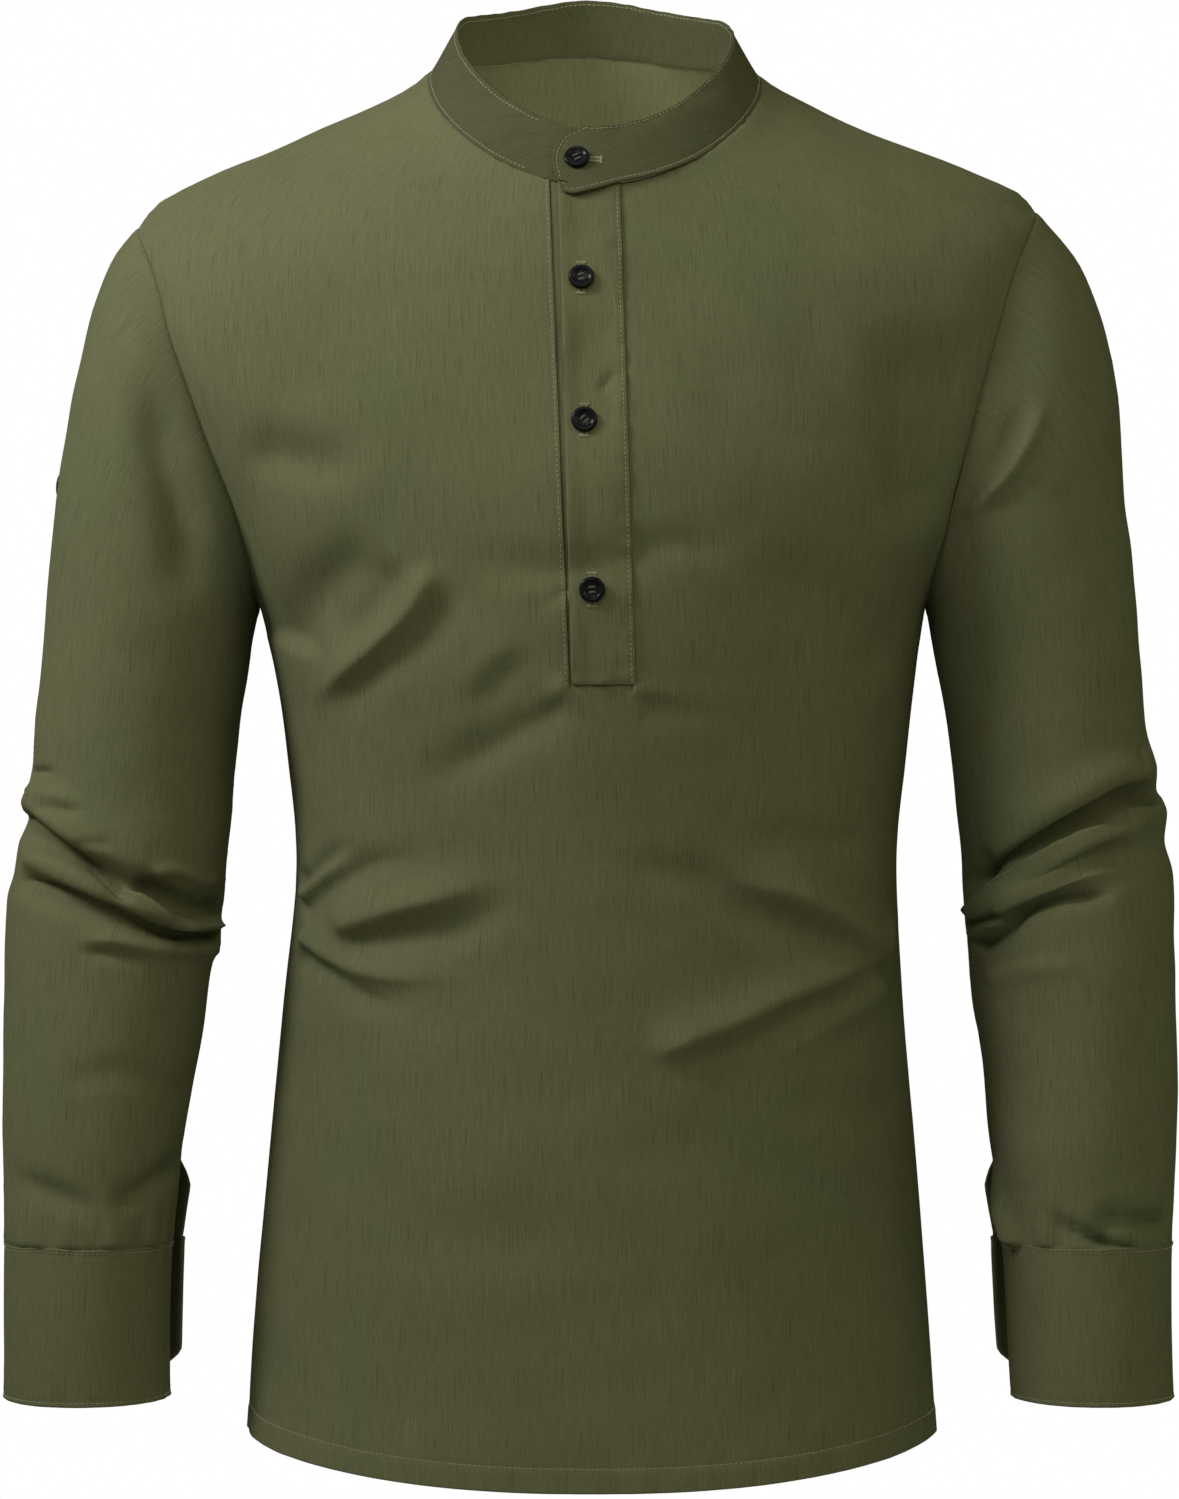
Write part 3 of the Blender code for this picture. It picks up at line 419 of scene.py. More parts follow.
# Each panel's folds: height, left and right width, sharpness, fade-in, fade-out, and the line.
FRONT_FOLDS = [
    # Below the wearer's right shoulder and beside the armhole.
    fold(-5, 14, 10, 2, 0.3, 0.4, -178,-190, -141,-198, -104,-206),
    fold(-6.8, 13, 14, 2, 0.35, 0.1, -100,-235, -119,-250, -138,-269, -150,-290),
    fold(6.8, 4.8, 9, 1.5, 0.14, 0.3, -77,-247, -81,-262, -90,-275, -102,-287, -116,-298, -129,-309,
         -142,-316),
    fold(-5, 8, 13, 2, 0.3, 0.3, -95,-243, -100,-262, -114,-277, -128,-290),
    fold(-2.2, 10, 8, 2, 0.35, 0.25, -48,-254, -59,-262, -73,-274, -85,-286, -102,-299, -117,-315,
         -129,-323),
    fold(2.4, 8, 10, 2, 0.35, 0.4, -30,-284, -49,-296, -66,-316),
    fold(-2, 8, 8, 2, 0.35, 0.4, -28,-292, -45,-306, -60,-326),
    # Across the bottom of the placket, and the pulls from its corners.
    fold(-3, 12, 9, 2, 0.3, 0.4, -70,-243, -30,-252, 10,-249, 45,-242),
    fold(-2.2, 8, 7, 2, 0.15, 0.5, 18,-242, 43,-240, 72,-246),
    fold(-1.6, 3, 3, 1.6, 0.02, 0.8, -13,-262, -30,-276),
    fold(-4, 9, 11, 1.8, 0.12, 0.5, -12,-312, -28,-326, -52,-340, -74,-352, -95,-362),
    fold(2.2, 5, 4, 1.6, 0.02, 0.7, -12,-306, -24,-316, -40,-326),
    fold(2.2, 3, 4, 1.6, 0.02, 0.7, 20,-309, 34,-312, 52,-318),
    fold(-2, 6, 8, 1.8, 0.05, 0.7, 24,-316, 50,-322, 80,-330),
    # The wearer's left chest: a broad hollow beside the armhole, and its edge.
    fold(-10, 36, 18, 2, 0.35, 0.2, 160,-120, 158,-180, 163,-235),
    fold(-5.2, 18, 14, 2, 0.35, 0.25, 76,-243, 110,-262, 138,-288, 150,-310),
    # The waist on the wearer's right.
    fold(4.4, 4, 4.5, 1.5, 0.05, 0.55, -147,-413, -141,-410, -131,-401, -117,-389),
    fold(-3.4, 4.5, 4.5, 1.8, 0.05, 0.55, -147,-405, -139,-401, -129,-392, -117,-382),
    fold(-3.6, 6, 7, 1.8, 0.05, 0.55, -147,-420, -136,-412, -121,-402, -104,-394, -78,-391),
    fold(6.8, 11, 6.5, 1.7, 0.12, 0.5, -130,-430, -116,-425, -97,-418, -76,-412, -58,-406, -40,-400),
    fold(-3.4, 8, 9, 2, 0.1, 0.45, -127,-437, -112,-434, -92,-431, -73,-429, -58,-423, -44,-416, -25,-409),
    fold(5, 9, 4.5, 1.5, 0.08, 0.6, -147,-430, -139,-436, -128,-443, -114,-448, -95,-451, -60,-450),
    fold(-3.6, 5, 7, 1.8, 0.08, 0.5, -147,-440, -138,-445, -128,-450, -118,-458, -104,-463, -85,-465),
    # The waist on the wearer's left.
    fold(10, 8, 11, 1.6, 0.06, 0.5, 149,-442, 135,-433, 123,-423, 108,-415, 91,-409, 72,-404, 53,-401),
    fold(-4, 9, 9, 2, 0.1, 0.45, 149,-447, 135,-441, 111,-431, 86,-422, 62,-415, 43,-409),
    fold(-3.6, 9, 10, 2, 0.35, 0.3, 5,-392, 40,-399, 70,-407, 104,-419, 122,-428),
    fold(8.6, 7, 10, 1.4, 0.22, 0.14, 149,-443, 129,-447, 111,-455, 91,-463, 72,-472, 53,-479, 38,-485,
         28,-491),
    fold(-5.2, 8, 10.5, 2, 0.35, 0.2, 149,-452, 125,-459, 101,-469, 77,-480, 53,-488, 38,-494),
    fold(4.6, 8, 10, 1.9, 0.08, 0.55, 149,-456, 127,-467, 98,-481, 70,-493),
    # Soft swells lower and higher up.
    fold(-2.6, 9, 9, 2, 0.3, 0.3, 72,-380, 111,-383, 146,-388),
    fold(-2.6, 12, 10, 2, 0.3, 0.3, 86,-512, 125,-516, 165,-521),
    fold(-1.4, 3, 3, 1.8, 0.3, 0.3, 3,-168, 12.5,-155),
    fold(-2.4, 18, 18, 2, 0.4, 0.4, -120,-560, -60,-575, 10,-570),
    fold(-3, 20, 20, 2, 0.4, 0.4, 20,-520, 75,-540, 130,-590),
]
BACK_FOLDS = [  # guessed, like those in front
    fold(4, 14, 9, 1.8, 0.1, 0.5, -150,-425, -80,-440, 20,-436),
    fold(-3, 10, 10, 2, 0.1, 0.5, -150,-442, -80,-458, 0,-456),
    fold(4, 9, 14, 1.8, 0.1, 0.5, 152,-438, 90,-452, 10,-470),
    fold(-3, 10, 10, 2, 0.1, 0.5, 152,-456, 90,-470, 10,-486),
    fold(-2.8, 14, 14, 2, 0.1, 0.6, -165,-240, -120,-262, -70,-270),
    fold(-2.8, 14, 14, 2, 0.1, 0.6, 165,-240, 120,-262, 70,-270),
]
SLEEVE_FOLDS = {
    "right": [
        fold(-5.6, 1.9, 1.4, 1.2, 0.03, 0.15, -286,-371, -274,-379, -262,-388, -250,-397, -240,-405,
             -227,-415),
        fold(3.6, 6.4, 4.8, 1.8, 0.05, 0.5, -286,-364, -270,-374, -252,-385, -238,-396),
        fold(-7, 2.1, 1.7, 1.2, 0.22, 0.02, -288,-405, -277,-405, -263,-409, -250,-414, -238,-420,
             -225,-426, -213,-431, -201,-433, -188,-433),
        fold(4.2, 6.4, 5.6, 1.8, 0.1, 0.3, -286,-392, -268,-397, -248,-407, -232,-416),
        fold(6.2, 2.4, 2.2, 1.4, 0.25, 0.02, -235,-407, -226,-412, -214,-421, -204,-427, -188,-428),
        fold(-7.2, 6.8, 3.2, 1.7, 0.25, 0.02, -232,-404, -214,-414, -200,-419, -188,-420),
        fold(2.9, 4, 2.8, 1.8, 0.2, 0.1, -220,-401, -206,-400, -190,-408),
        fold(3.6, 4, 4, 1.8, 0.3, 0.05, -258,-433, -238,-434, -215,-439, -188,-440),
        fold(-2.2, 3.2, 3.6, 1.8, 0.3, 0.4, -256,-439, -235,-441, -212,-446),
        fold(-2.2, 2.4, 2.4, 1.8, 0.02, 0.6, -284,-350, -266,-350),
        fold(2.6, 4, 4, 1.8, 0.05, 0.5, -286,-360, -268,-362, -252,-366),
        fold(-1.7, 2.8, 2.8, 1.8, 0.2, 0.4, -280,-369, -265,-369, -249,-370),
        fold(-1.4, 2.8, 2.8, 1.8, 0.3, 0.4, -258,-385, -234,-386),
        fold(-1.9, 7.2, 5.6, 2, 0.3, 0.1, -270,-506, -232,-500, -200,-512),
        fold(-4.4, 5.5, 6, 1.8, 0.5, 0.4, -296,-548, -268,-558, -238,-569),
        fold(-6, 5.5, 5, 1.8, 0.3, 0.1, -240,-564, -222,-557, -200,-540),
        fold(-8.8, 11.2, 12.8, 2, 0.3, 0.3, -228,-150, -214,-185, -203,-225, -196,-275),
    ],
    "left": [
        fold(6.7, 1.8, 6, 1.3, 0.06, 0.22, 186,-424, 192,-419, 199,-409, 210,-401, 222,-394, 234,-387,
             245,-382, 255,-377, 263,-372),
        fold(-8.4, 6, 2.6, 1.5, 0.1, 0.05, 188,-412, 199,-402, 212,-394, 232,-382, 252,-371, 266,-364,
             278,-362, 290,-364),
        fold(3.4, 8.8, 8, 2, 0.3, 0.1, 205,-380, 232,-366, 262,-352, 286,-349),
        fold(-4.3, 4, 4, 1.8, 0.25, 0.25, 274,-388, 262,-388, 245,-392, 231,-398, 218,-404, 205,-411),
        fold(4.3, 4.4, 4.8, 1.8, 0.3, 0.1, 274,-398, 252,-401, 232,-406, 214,-413, 200,-422),
        fold(-7.2, 3.6, 2.4, 1.5, 0.25, 0.03, 262,-411, 245,-411, 233,-412, 223,-415, 214,-420, 205,-430,
             193,-439),
        fold(-4.8, 1.9, 1.9, 1.5, 0.02, 0.5, 188,-427, 197,-424, 208,-421),
        fold(3.1, 1.4, 1.4, 1.5, 0.02, 0.5, 189,-433, 198,-429, 208,-424),
        fold(-3.1, 2.8, 2.8, 1.8, 0.4, 0.1, 195,-385, 196,-398, 196,-412),
        fold(-1.9, 2.4, 3.2, 1.8, 0.3, 0.3, 277,-334, 276,-350),
        fold(1.9, 5.6, 4.8, 2, 0.3, 0.1, 246,-446, 216,-448, 196,-456),
        fold(7, 8.8, 2.8, 1.4, 0.05, 0.35, 172,-224, 181,-222, 191,-219, 205,-206, 217,-188, 227,-163),
        fold(-5.8, 6.4, 4.8, 1.8, 0.05, 0.35, 176,-212, 187,-208, 199,-196, 210,-178, 218,-160),
        fold(-7, 5, 5, 1.8, 0.3, 0.1, 246,-569, 268,-572, 290,-573),
        fold(-7, 4.2, 4, 1.6, 0.4, 0.15, 220,-567, 246,-581, 274,-590),
        fold(8, 3, 4, 1.5, 0.3, 0.02, 198,-540, 204,-562, 213,-590),
    ],
}
BAND_FOLDS = [
    fold(-1.6, 4, 5, 1.8, 0.2, 0.3, -72,6, -58,-10, -40,-18),
    fold(-1, 3, 3, 1.6, 0.2, 0.2, -46,-40, -32,-36, -22,-38),
    fold(-1.4, 5, 5, 1.8, 0.2, 0.2, 2,-36, 36,-21, 70,0),
]

# ---- Pieces.

Sheet = namedtuple("Sheet", "piece points normals")  # a piece of cloth and the grid of its outer face


def make_piece(name, verts, faces, look, smooth=True):
    data = bpy.data.meshes.new(name)
    data.from_pydata(np.asarray(verts, float).tolist(), [], faces)
    if smooth:
        data.shade_smooth()
    data.materials.append(look)
    obj = bpy.data.objects.new(name, data)
    bpy.context.scene.collection.objects.link(obj)
    return obj


def dress(obj, slot, *nodes):
    """The piece rides on the shirt's one body and stands for these CAD nodes."""
    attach(obj, "root")
    if nodes:
        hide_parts(*nodes)
    return obj


def corners(grid, axis):
    """The four corners of each of a grid's squares."""
    return np.stack([grid[:-1, :-1], grid[:-1, 1:], grid[1:, 1:], grid[1:, :-1]], axis=axis)


def make_cloth(name, node, points, uv, look, wall=WALL, shown=None, tube_rows=0):
    """A sheet with rounded edges whose outer face is the grid. shown says which squares are there."""
    normals = outward(points, tube_rows)
    index = np.arange(uv.shape[0] * uv.shape[1]).reshape(uv.shape[:2])
    index[:tube_rows, -1] = index[:tube_rows, 0]
    quads, corner_uv = corners(index, -1), corners(uv, -2)
    if shown is None:
        shown = np.ones(quads.shape[:2], bool)
    quads, corner_uv = quads[shown], corner_uv[shown]
    outer, away = points.reshape(-1, 3), normals.reshape(-1, 3)
    count = len(outer)
    # Edges with a face on one side only run round the sheet, and get a rounded rim.
    starts, ends = quads.reshape(-1), np.roll(quads, -1, axis=1).reshape(-1)
    rim_edges = ~np.isin(starts * count + ends, ends * count + starts)
    a, b = starts[rim_edges], ends[rim_edges]
    uv_a, uv_b = (each.reshape(-1, 2)[rim_edges] for each in (corner_uv, np.roll(corner_uv, -1, axis=1)))
    sideways = np.zeros_like(outer)
    tangent = np.cross(unit(outer[b] - outer[a]), away[a])
    np.add.at(sideways, a, tangent)
    np.add.at(sideways, b, tangent)
    inner = outer - away * wall
    verts = np.concatenate([outer, inner, outer - away * wall / 2 + unit(sideways) * wall * RIM_BULGE])
    outer_rim = np.stack([b, a, a + 2 * count, b + 2 * count], axis=-1)
    inner_rim = np.stack([b + 2 * count, a + 2 * count, a + count, b + count], axis=-1)
    faces = np.concatenate([quads, quads[:, ::-1] + count, outer_rim, inner_rim])
    rim_uv = np.stack([uv_b, uv_a, uv_a, uv_b], axis=1)
    loops_uv = np.concatenate([corner_uv, corner_uv[:, ::-1], rim_uv, rim_uv])
    used = np.zeros(len(verts), bool)
    used[faces.reshape(-1)] = True
    renumber = np.cumsum(used) - 1
    obj = make_piece(name, verts[used], renumber[faces].tolist(), look)
    layer = obj.data.uv_layers.new(name="cloth")
    layer.data.foreach_set("uv", loops_uv.reshape(-1).astype(np.float32))
    return Sheet(dress(obj, "linen", node), points, normals)


def tube_faces(rings, sides):
    """Squares between closed rings of points."""
    return [
        (first + k, first + (k + 1) % sides, first + sides + (k + 1) % sides, first + sides + k)
        for first in range(0, (rings - 1) * sides, sides)
        for k in range(sides)
    ]


def circle(sides):
    """Points of a circle, as cosines and sines."""
    return [(math.cos(k * FULL_TURN / sides), math.sin(k * FULL_TURN / sides)) for k in range(sides)]


# ---- Stitches.

STITCH_PITCH, STITCH_LENGTH, STITCH_WIDTH = 0.0025, 0.0019, 0.00034
STITCH_RINGS = ((-0.5, 0.35), (-0.32, 0.85), (0.0, 1.0), (0.32, 0.85), (0.5, 0.35))  # place and girth
STITCH_SIDES = 6
STITCH_FLATNESS, STITCH_LIFT = 0.55, 0.25
# A stitch's points, in shares of its length along it, and of its width across it and out of the cloth.
STITCH_POINTS = np.array(
    [
        (place, girth * cos, girth * (STITCH_FLATNESS * sin + STITCH_LIFT))
        for place, girth in STITCH_RINGS
        for cos, sin in circle(STITCH_SIDES)
    ]
)
# Its ends are closed by two flat quads each, so that every face has four corners.
STITCH_LAST = STITCH_SIDES * (len(STITCH_RINGS) - 1)
STITCH_CAPS = [(0, 3, 2, 1), (0, 5, 4, 3)] + [
    tuple(STITCH_LAST + k for k in order) for order in ((0, 1, 2, 3), (0, 3, 4, 5))
]
STITCH_FACES = np.array(tube_faces(len(STITCH_RINGS), STITCH_SIDES) + STITCH_CAPS)


class Stitches:
    """Many small threads, gathered into one piece."""

    def __init__(self):
        self.threads = []

    def thread(self, middle, along, normal, length, width=STITCH_WIDTH):
        along = unit(along - normal * (along @ normal))
        ways = np.stack([along * length, np.cross(normal, along) * width, normal * width])
        self.threads.append(middle + STITCH_POINTS @ ways)

    def run(self, path, normals, pitch=STITCH_PITCH, length=STITCH_LENGTH, start=0.0, end=0.0):
        """A line of stitches along a path."""
        at = lengths(path)
        for place in np.arange(start + length / 2, at[-1] - end - length / 2, pitch):
            first, last = (read_at(place + way * length / 2, at, path) for way in (-1, 1))
            self.thread((first + last) / 2, last - first, unit(read_at(place, at, normals)), length)

    def made(self, name, look):
        faces = np.concatenate([STITCH_FACES + k * len(STITCH_POINTS) for k in range(len(self.threads))])
        return make_piece(name, np.concatenate(self.threads), faces.tolist(), look)


def line_on(points, normals, distance, at, upright=False):
    """The path on a grid where the distance from one of its edges is at. upright runs along the columns."""
    if upright:
        points, normals, distance = (np.swapaxes(each, 0, 1) for each in (points, normals, distance))
    path, ways = [], []
    for k in range(points.shape[1]):
        order = slice(None, None, -1 if distance[0, k] > distance[-1, k] else 1)
        path.append(read_at(at, distance[order, k], points[order, k]))
        ways.append(read_at(at, distance[order, k], normals[order, k]))
    return np.array(path), unit(np.array(ways))


def beside_placket(sheet, line, shift):
    """The path on the front beside one of the opening's upright lines."""
    path, ways = [], []
    for row, normals in zip(sheet.points, sheet.normals):
        middle_z = row[len(row) // 2, 2]
        if middle_z >= PLACKET_BOTTOM:
            x = placket_x(line, middle_z) + shift
            path.append(read_at(x, row[:, 0], row))
            ways.append(read_at(x, row[:, 0], normals))
    return np.array(path), unit(np.array(ways))


# ---- Materials.

LINEN = (0.088, 0.0925, 0.050)
WARMER = (1.045, 0.985, 1.0)  # the linen's other tint, in shares of its colour
# Painted shade: the collar band's linen is darkened to this share of the shirt's colour, for the shade that
# the band lies in.
COLLAR_PAINTED_SHADE = 0.62
THREAD = (0.118, 0.117, 0.062)
DARK_THREAD = (0.030, 0.032, 0.020)
GLOSS = (0.0022, 0.0023, 0.0026)
WARP_PITCH, WEFT_PITCH = 800, 750  # pairs of threads to a metre
MIX_A, MIX_B, MIX_OUT = 6, 7, 2  # a Mix node's colour sockets


class Nodes:
    """A short way to write nodes. A value sets a socket, and another node's output is linked to it."""

    def __init__(self, tree):
        self.tree = tree

    def put(self, node, values):
        for key, value in values.items():
            socket = node.inputs[key]
            if isinstance(value, bpy.types.NodeSocket):
                self.tree.links.new(value, socket)
            else:
                socket.default_value = (*value, 1) if socket.type == "RGBA" else value
        return node

    def add(self, kind, values=None, **settings):
        node = self.tree.nodes.new("ShaderNode" + kind)
        for key, value in settings.items():
            setattr(node, key, value)
        return self.put(node, values or {})

    def math(self, operation, *values):
        return self.add("Math", dict(enumerate(values)), operation=operation).outputs[0]

    def noise(self, vector, scale, shift=(0, 0, 0), detail=2.0, roughness=0.5):
        scaled = self.add("Mapping", {"Vector": vector, "Scale": scale, "Location": shift}).outputs["Vector"]
        values = {"Vector": scaled, "Scale": 1.0, "Detail": detail, "Roughness": roughness}
        return self.add("TexNoise", values).outputs["Fac"]

    def between(self, value, low, high, to_low, to_high):
        ends = {"From Min": low, "From Max": high, "To Min": to_low, "To Max": to_high}
        return self.add("MapRange", {"Value": value, **ends}).outputs["Result"]

    def mixed(self, factor, a, b, blend="MIX"):
        values = {"Factor": factor, MIX_A: a, MIX_B: b}
        return self.add("Mix", values, data_type="RGBA", blend_type=blend).outputs[MIX_OUT]

    def bump(self, height, strength, distance):
        values = {"Height": height, "Strength": strength, "Distance": distance}
        return self.add("Bump", values).outputs["Normal"]


def new_look(name):
    look = bpy.data.materials.new(name)
    look.use_nodes = True
    return look, Nodes(look.node_tree), look.node_tree.nodes["Principled BSDF"]


def linen(name, seed, painted_shade=1.0):
    """Plain-woven linen, 1.6 threads to a millimetre, with slubs that run mostly up and down."""
    look, made, shader = new_look(name)
    uv = made.add("UVMap", uv_map="cloth").outputs["UV"]
    x, y, z = seed * 3.1, seed * 7.7, seed * 1.3
    warp = made.noise(uv, (1700, 95, 1), (x, y, z), 3, 0.6)
    weft = made.noise(uv, (80, 1500, 1), (x, y, z))
    grain = made.noise(uv, (1500, 1100, 1), (x, y, z), 1)
    cloud = made.noise(uv, (14, 11, 1), (x, y, z))
    slub = made.noise(uv, (1250, 42, 1), (x + 5, y, 0), 1)
    spot = made.noise(uv, (620, 420, 1), (x, y + 9, 0), 0)
    factor = made.between(warp, 0.25, 0.75, 0.90, 1.10)
    for part, low, high, to_low, to_high in (
        (weft, 0.25, 0.75, 0.97, 1.03),
        (grain, 0.25, 0.75, 0.92, 1.08),
        (cloud, 0.3, 0.7, 0.975, 1.025),
        (slub, 0.60, 0.76, 1.0, 0.74),  # dark lines
        (slub, 0.36, 0.24, 1.0, 1.18),  # pale lines
    ):
        factor = made.math("MULTIPLY", factor, made.between(part, low, high, to_low, to_high))
    # Here the colour is darkened by a share that paints in shade on a part that lies in it (the collar band),
    # not a darker cloth.
    base = tuple(part * painted_shade for part in LINEN)
    warm = tuple(part * share for part, share in zip(base, WARMER))
    hue = made.mixed(made.between(cloud, 0.35, 0.65, 0.0, 1.0), base, warm)
    flecks = made.between(spot, 0.82, 0.88, 0.0, 0.6)
    colour = made.mixed(flecks, made.mixed(1.0, hue, factor, "MULTIPLY"), THREAD)
    # The weave: each thread rises and dips in turn with the threads that cross it.
    place = made.add("SeparateXYZ", {0: uv}).outputs
    threads = (
        made.math("SINE", made.math("MULTIPLY", place[axis], FULL_TURN * pitch))
        for axis, pitch in (("X", WARP_PITCH), ("Y", WEFT_PITCH))
    )
    height = warp
    for part, share in ((made.math("MULTIPLY", *threads), 0.18), (weft, 0.6), (slub, 0.9), (grain, 0.5)):
        height = made.math("MULTIPLY_ADD", part, share, height)
    normal = made.bump(height, 0.5, 0.00016)
    made.put(shader, {"Base Color": colour, "Roughness": 0.70, "Specular IOR Level": 0.0, "Normal": normal})
    return look


def thread_look(name, colour):
    look, made, shader = new_look(name)
    twist = made.noise(made.add("TexCoord").outputs["Object"], (2600, 2600, 2600))
    twisted = made.mixed(1.0, colour, made.between(twist, 0.3, 0.7, 0.8, 1.2), "MULTIPLY")
    made.put(shader, {"Base Color": twisted, "Normal": made.bump(twist, 0.4, 0.0001)})
    made.put(shader, {"Roughness": 0.7, "Specular IOR Level": 0.3, "Sheen Weight": 0.2})
    return look


def gloss_look(name):
    look, made, shader = new_look(name)
    haze = made.noise(made.add("TexCoord").outputs["Object"], (420, 420, 420), detail=3)
    colour = made.mixed(1.0, GLOSS, made.between(haze, 0.3, 0.7, 0.8, 1.3), "MULTIPLY")
    roughness = made.between(haze, 0.3, 0.7, 0.16, 0.24)
    made.put(shader, {"Base Color": colour, "Roughness": roughness, "Specular IOR Level": 0.06})
    made.put(shader, {"Normal": made.bump(haze, 0.05, 0.0001)})
    return look


# ---- Panels.

# A panel's rows: heights, and how far apart rows are there.
FRONT_PACES = (
    (-0.72, 0.0045), (-0.53, 0.0042), (-0.505, 0.0019), (-0.375, 0.0019),
    (-0.355, 0.0027), (-0.165, 0.0027), (-0.140, 0.0045), (0.03, 0.0045),
)  # fmt: skip
BACK_PACES = (
    (-0.72, 0.0050), (-0.52, 0.0046), (-0.49, 0.0030), (-0.40, 0.0030), (-0.37, 0.0046), (0.05, 0.0046),
)  # fmt: skip
SLEEVE_PACES = (
    (-0.60, 0.0030), (-0.52, 0.0045), (-0.46, 0.0036), (-0.448, 0.0010), (-0.345, 0.0010),
    (-0.32, 0.0040), (-0.235, 0.0034), (-0.16, 0.0034), (0.0, 0.0045),
)  # fmt: skip
NEAR_SEAM = (0.0, 0.0005, 0.0011, 0.0018, 0.0027, 0.0040, 0.0060)  # the first rows' distances, in metres
NEAR_HEM = (0.0, 0.0007, 0.0020, 0.0045, 0.0075, 0.0098, 0.0108, 0.0115, 0.0122, 0.0134, 0.0160)

SEAM_SINK, SEAM_WIDTH = 0.00012, 0.0007  # how deep and wide a seam line lies
SEAM_RAISE, SEAM_TURNING = 0.00035, 0.009  # the cloth over a seam's turnings stands up by this
SEAM_FADE = 0.026  # folds die out over this distance to a seam
SEAM_FOLDS = 0.2  # but the front's keep this share, where they run into the side seam
HEM_TURN, HEM_RAISE = 0.0115, 0.00045
HEM_WAVE, HEM_WAVE_HEIGHT, HEM_WAVE_REACH = 0.016, 0.00022, 0.024
STITCH_SINK, STITCH_WIDE = 0.00030, 0.0009  # how deep and wide the groove of a stitch line is
STITCH_RAISE = 0.0003  # the cloth beyond a stitch line stands up by this
# The cloth's unevenness: wavelengths and heights.
BROAD_WAVE, BROAD_HEIGHT = 0.110, 0.00075
MIDDLE_WAVE, MIDDLE_HEIGHT = 0.042, 0.00022
CREASE_WAVE, CREASE_HEIGHT, CREASE_PATCH = 0.020, 0.00018, 0.09


HIDDEN_STEP, NEAR_PLACKET = 0.4, (0.0, 0.3)  # the front's columns under the placket

# The placket's strips. Rows are in coarse rows, and columns in shares of a strip's width.
STRIP_STEP, NEAR_BOTTOM, NEAR_TOP = 0.12, (0.0, 0.03, 0.07, 0.12, 0.18), (0.0, 0.05, 0.12)
STRIP_ACROSS, NEAR_SIDES = 0.05, (0.0, 0.012, 0.03, 0.05)
STRIP_MARGIN, STRIP_READ = 1.2, 46  # coarse columns past the opening that they are read from, and places read
UNDER_DEPTH = 0.0006  # the lower strip's face under the front's
FREE_WIDTH, FREE_LIFT, FREE_GAPE = 0.010, 0.0006, 0.0016  # the free edge's lift, and more between buttons


def paced(line, paces, near_start, near_end):
    """Fractional places along a line of points whose distances follow the paces, and closer at its ends."""
    at = np.linspace(0, len(line) - 1, 1200)
    fine = read_along(line[:, None, :], at, 0)[:, 0]
    far = lengths(fine)
    step = np.interp(fine[:, 2], *np.transpose(paces))
    count = np.concatenate([[0], np.cumsum(np.diff(far) / ((step[1:] + step[:-1]) / 2))])
    first, last = np.interp([near_start[-1], far[-1] - near_end[-1]], far, count)
    inner = np.interp(np.linspace(first, last, round(last - first) + 1), count, at)
    begin = np.interp(near_start[:-1], far, at)
    end = np.interp(far[-1] - np.array(near_end[:-1]), far, at)[::-1]
    return np.concatenate([begin, inner, end])


def seam_profile(distance):
    raised = SEAM_RAISE * smooth_step((SEAM_TURNING - distance) / 0.004) * smooth_step(distance / 0.002)
    return raised - SEAM_SINK * bell(distance, SEAM_WIDTH)


def stitched_profile(distance, at, raise_by=0.0):
    """A line of stitches drawn in at a distance from an edge, with the cloth raised up to it."""
    raised = raise_by * smooth_step((at + 0.0008 - distance) / 0.0012)
    return raised - STITCH_SINK * bell(distance - at, STITCH_WIDE)


def hem_profile(points, down):
    """The turned and stitched hem, with the small waves that its stitches draw into it."""
    wave = HEM_WAVE_HEIGHT * ripples(points, HEM_WAVE, 51, stretch=(1, 0.6, 0.2))
    return stitched_profile(down, HEM_TURN, HEM_RAISE) + wave * smooth_step((HEM_WAVE_REACH - down) / 0.014)


def swell(points, seed):
    """The cloth's own unevenness: broad soft swells, and fine creases that wear leaves in linen."""
    broad = ripples(points, BROAD_WAVE, seed) * BROAD_HEIGHT
    middle = ripples(points, MIDDLE_WAVE, seed + 1) * MIDDLE_HEIGHT
    fine = 1 - np.abs(ripples(points, CREASE_WAVE, seed + 2, stretch=(1, 1, 0.6)))
    patch = smooth_step(ripples(points, CREASE_PATCH, seed + 3) * 0.5 + 0.5)
    return broad + middle + np.clip(fine, 0, 1) ** 3 * CREASE_HEIGHT * patch


def cloth_uv(points, centre, level):
    """Places in the cloth, in metres, across and along the weave."""
    across, along = lengths(points, 1), lengths(points, 0)
    u = across - across[:, centre : centre + 1]
    v = along - along[level : level + 1] + points[level : level + 1, :, 2]
    return np.stack([u, v], axis=-1)


def front_height(points, seam):
    """How far the front stands out from the eased rings. seam is the distance to the nearest seam."""
    share = SEAM_FOLDS + (1 - SEAM_FOLDS) * smooth_step(seam / SEAM_FADE)
    return fold_heights(points, FRONT_FOLDS) * share + swell(points, 11) * smooth_step(seam / 0.015)


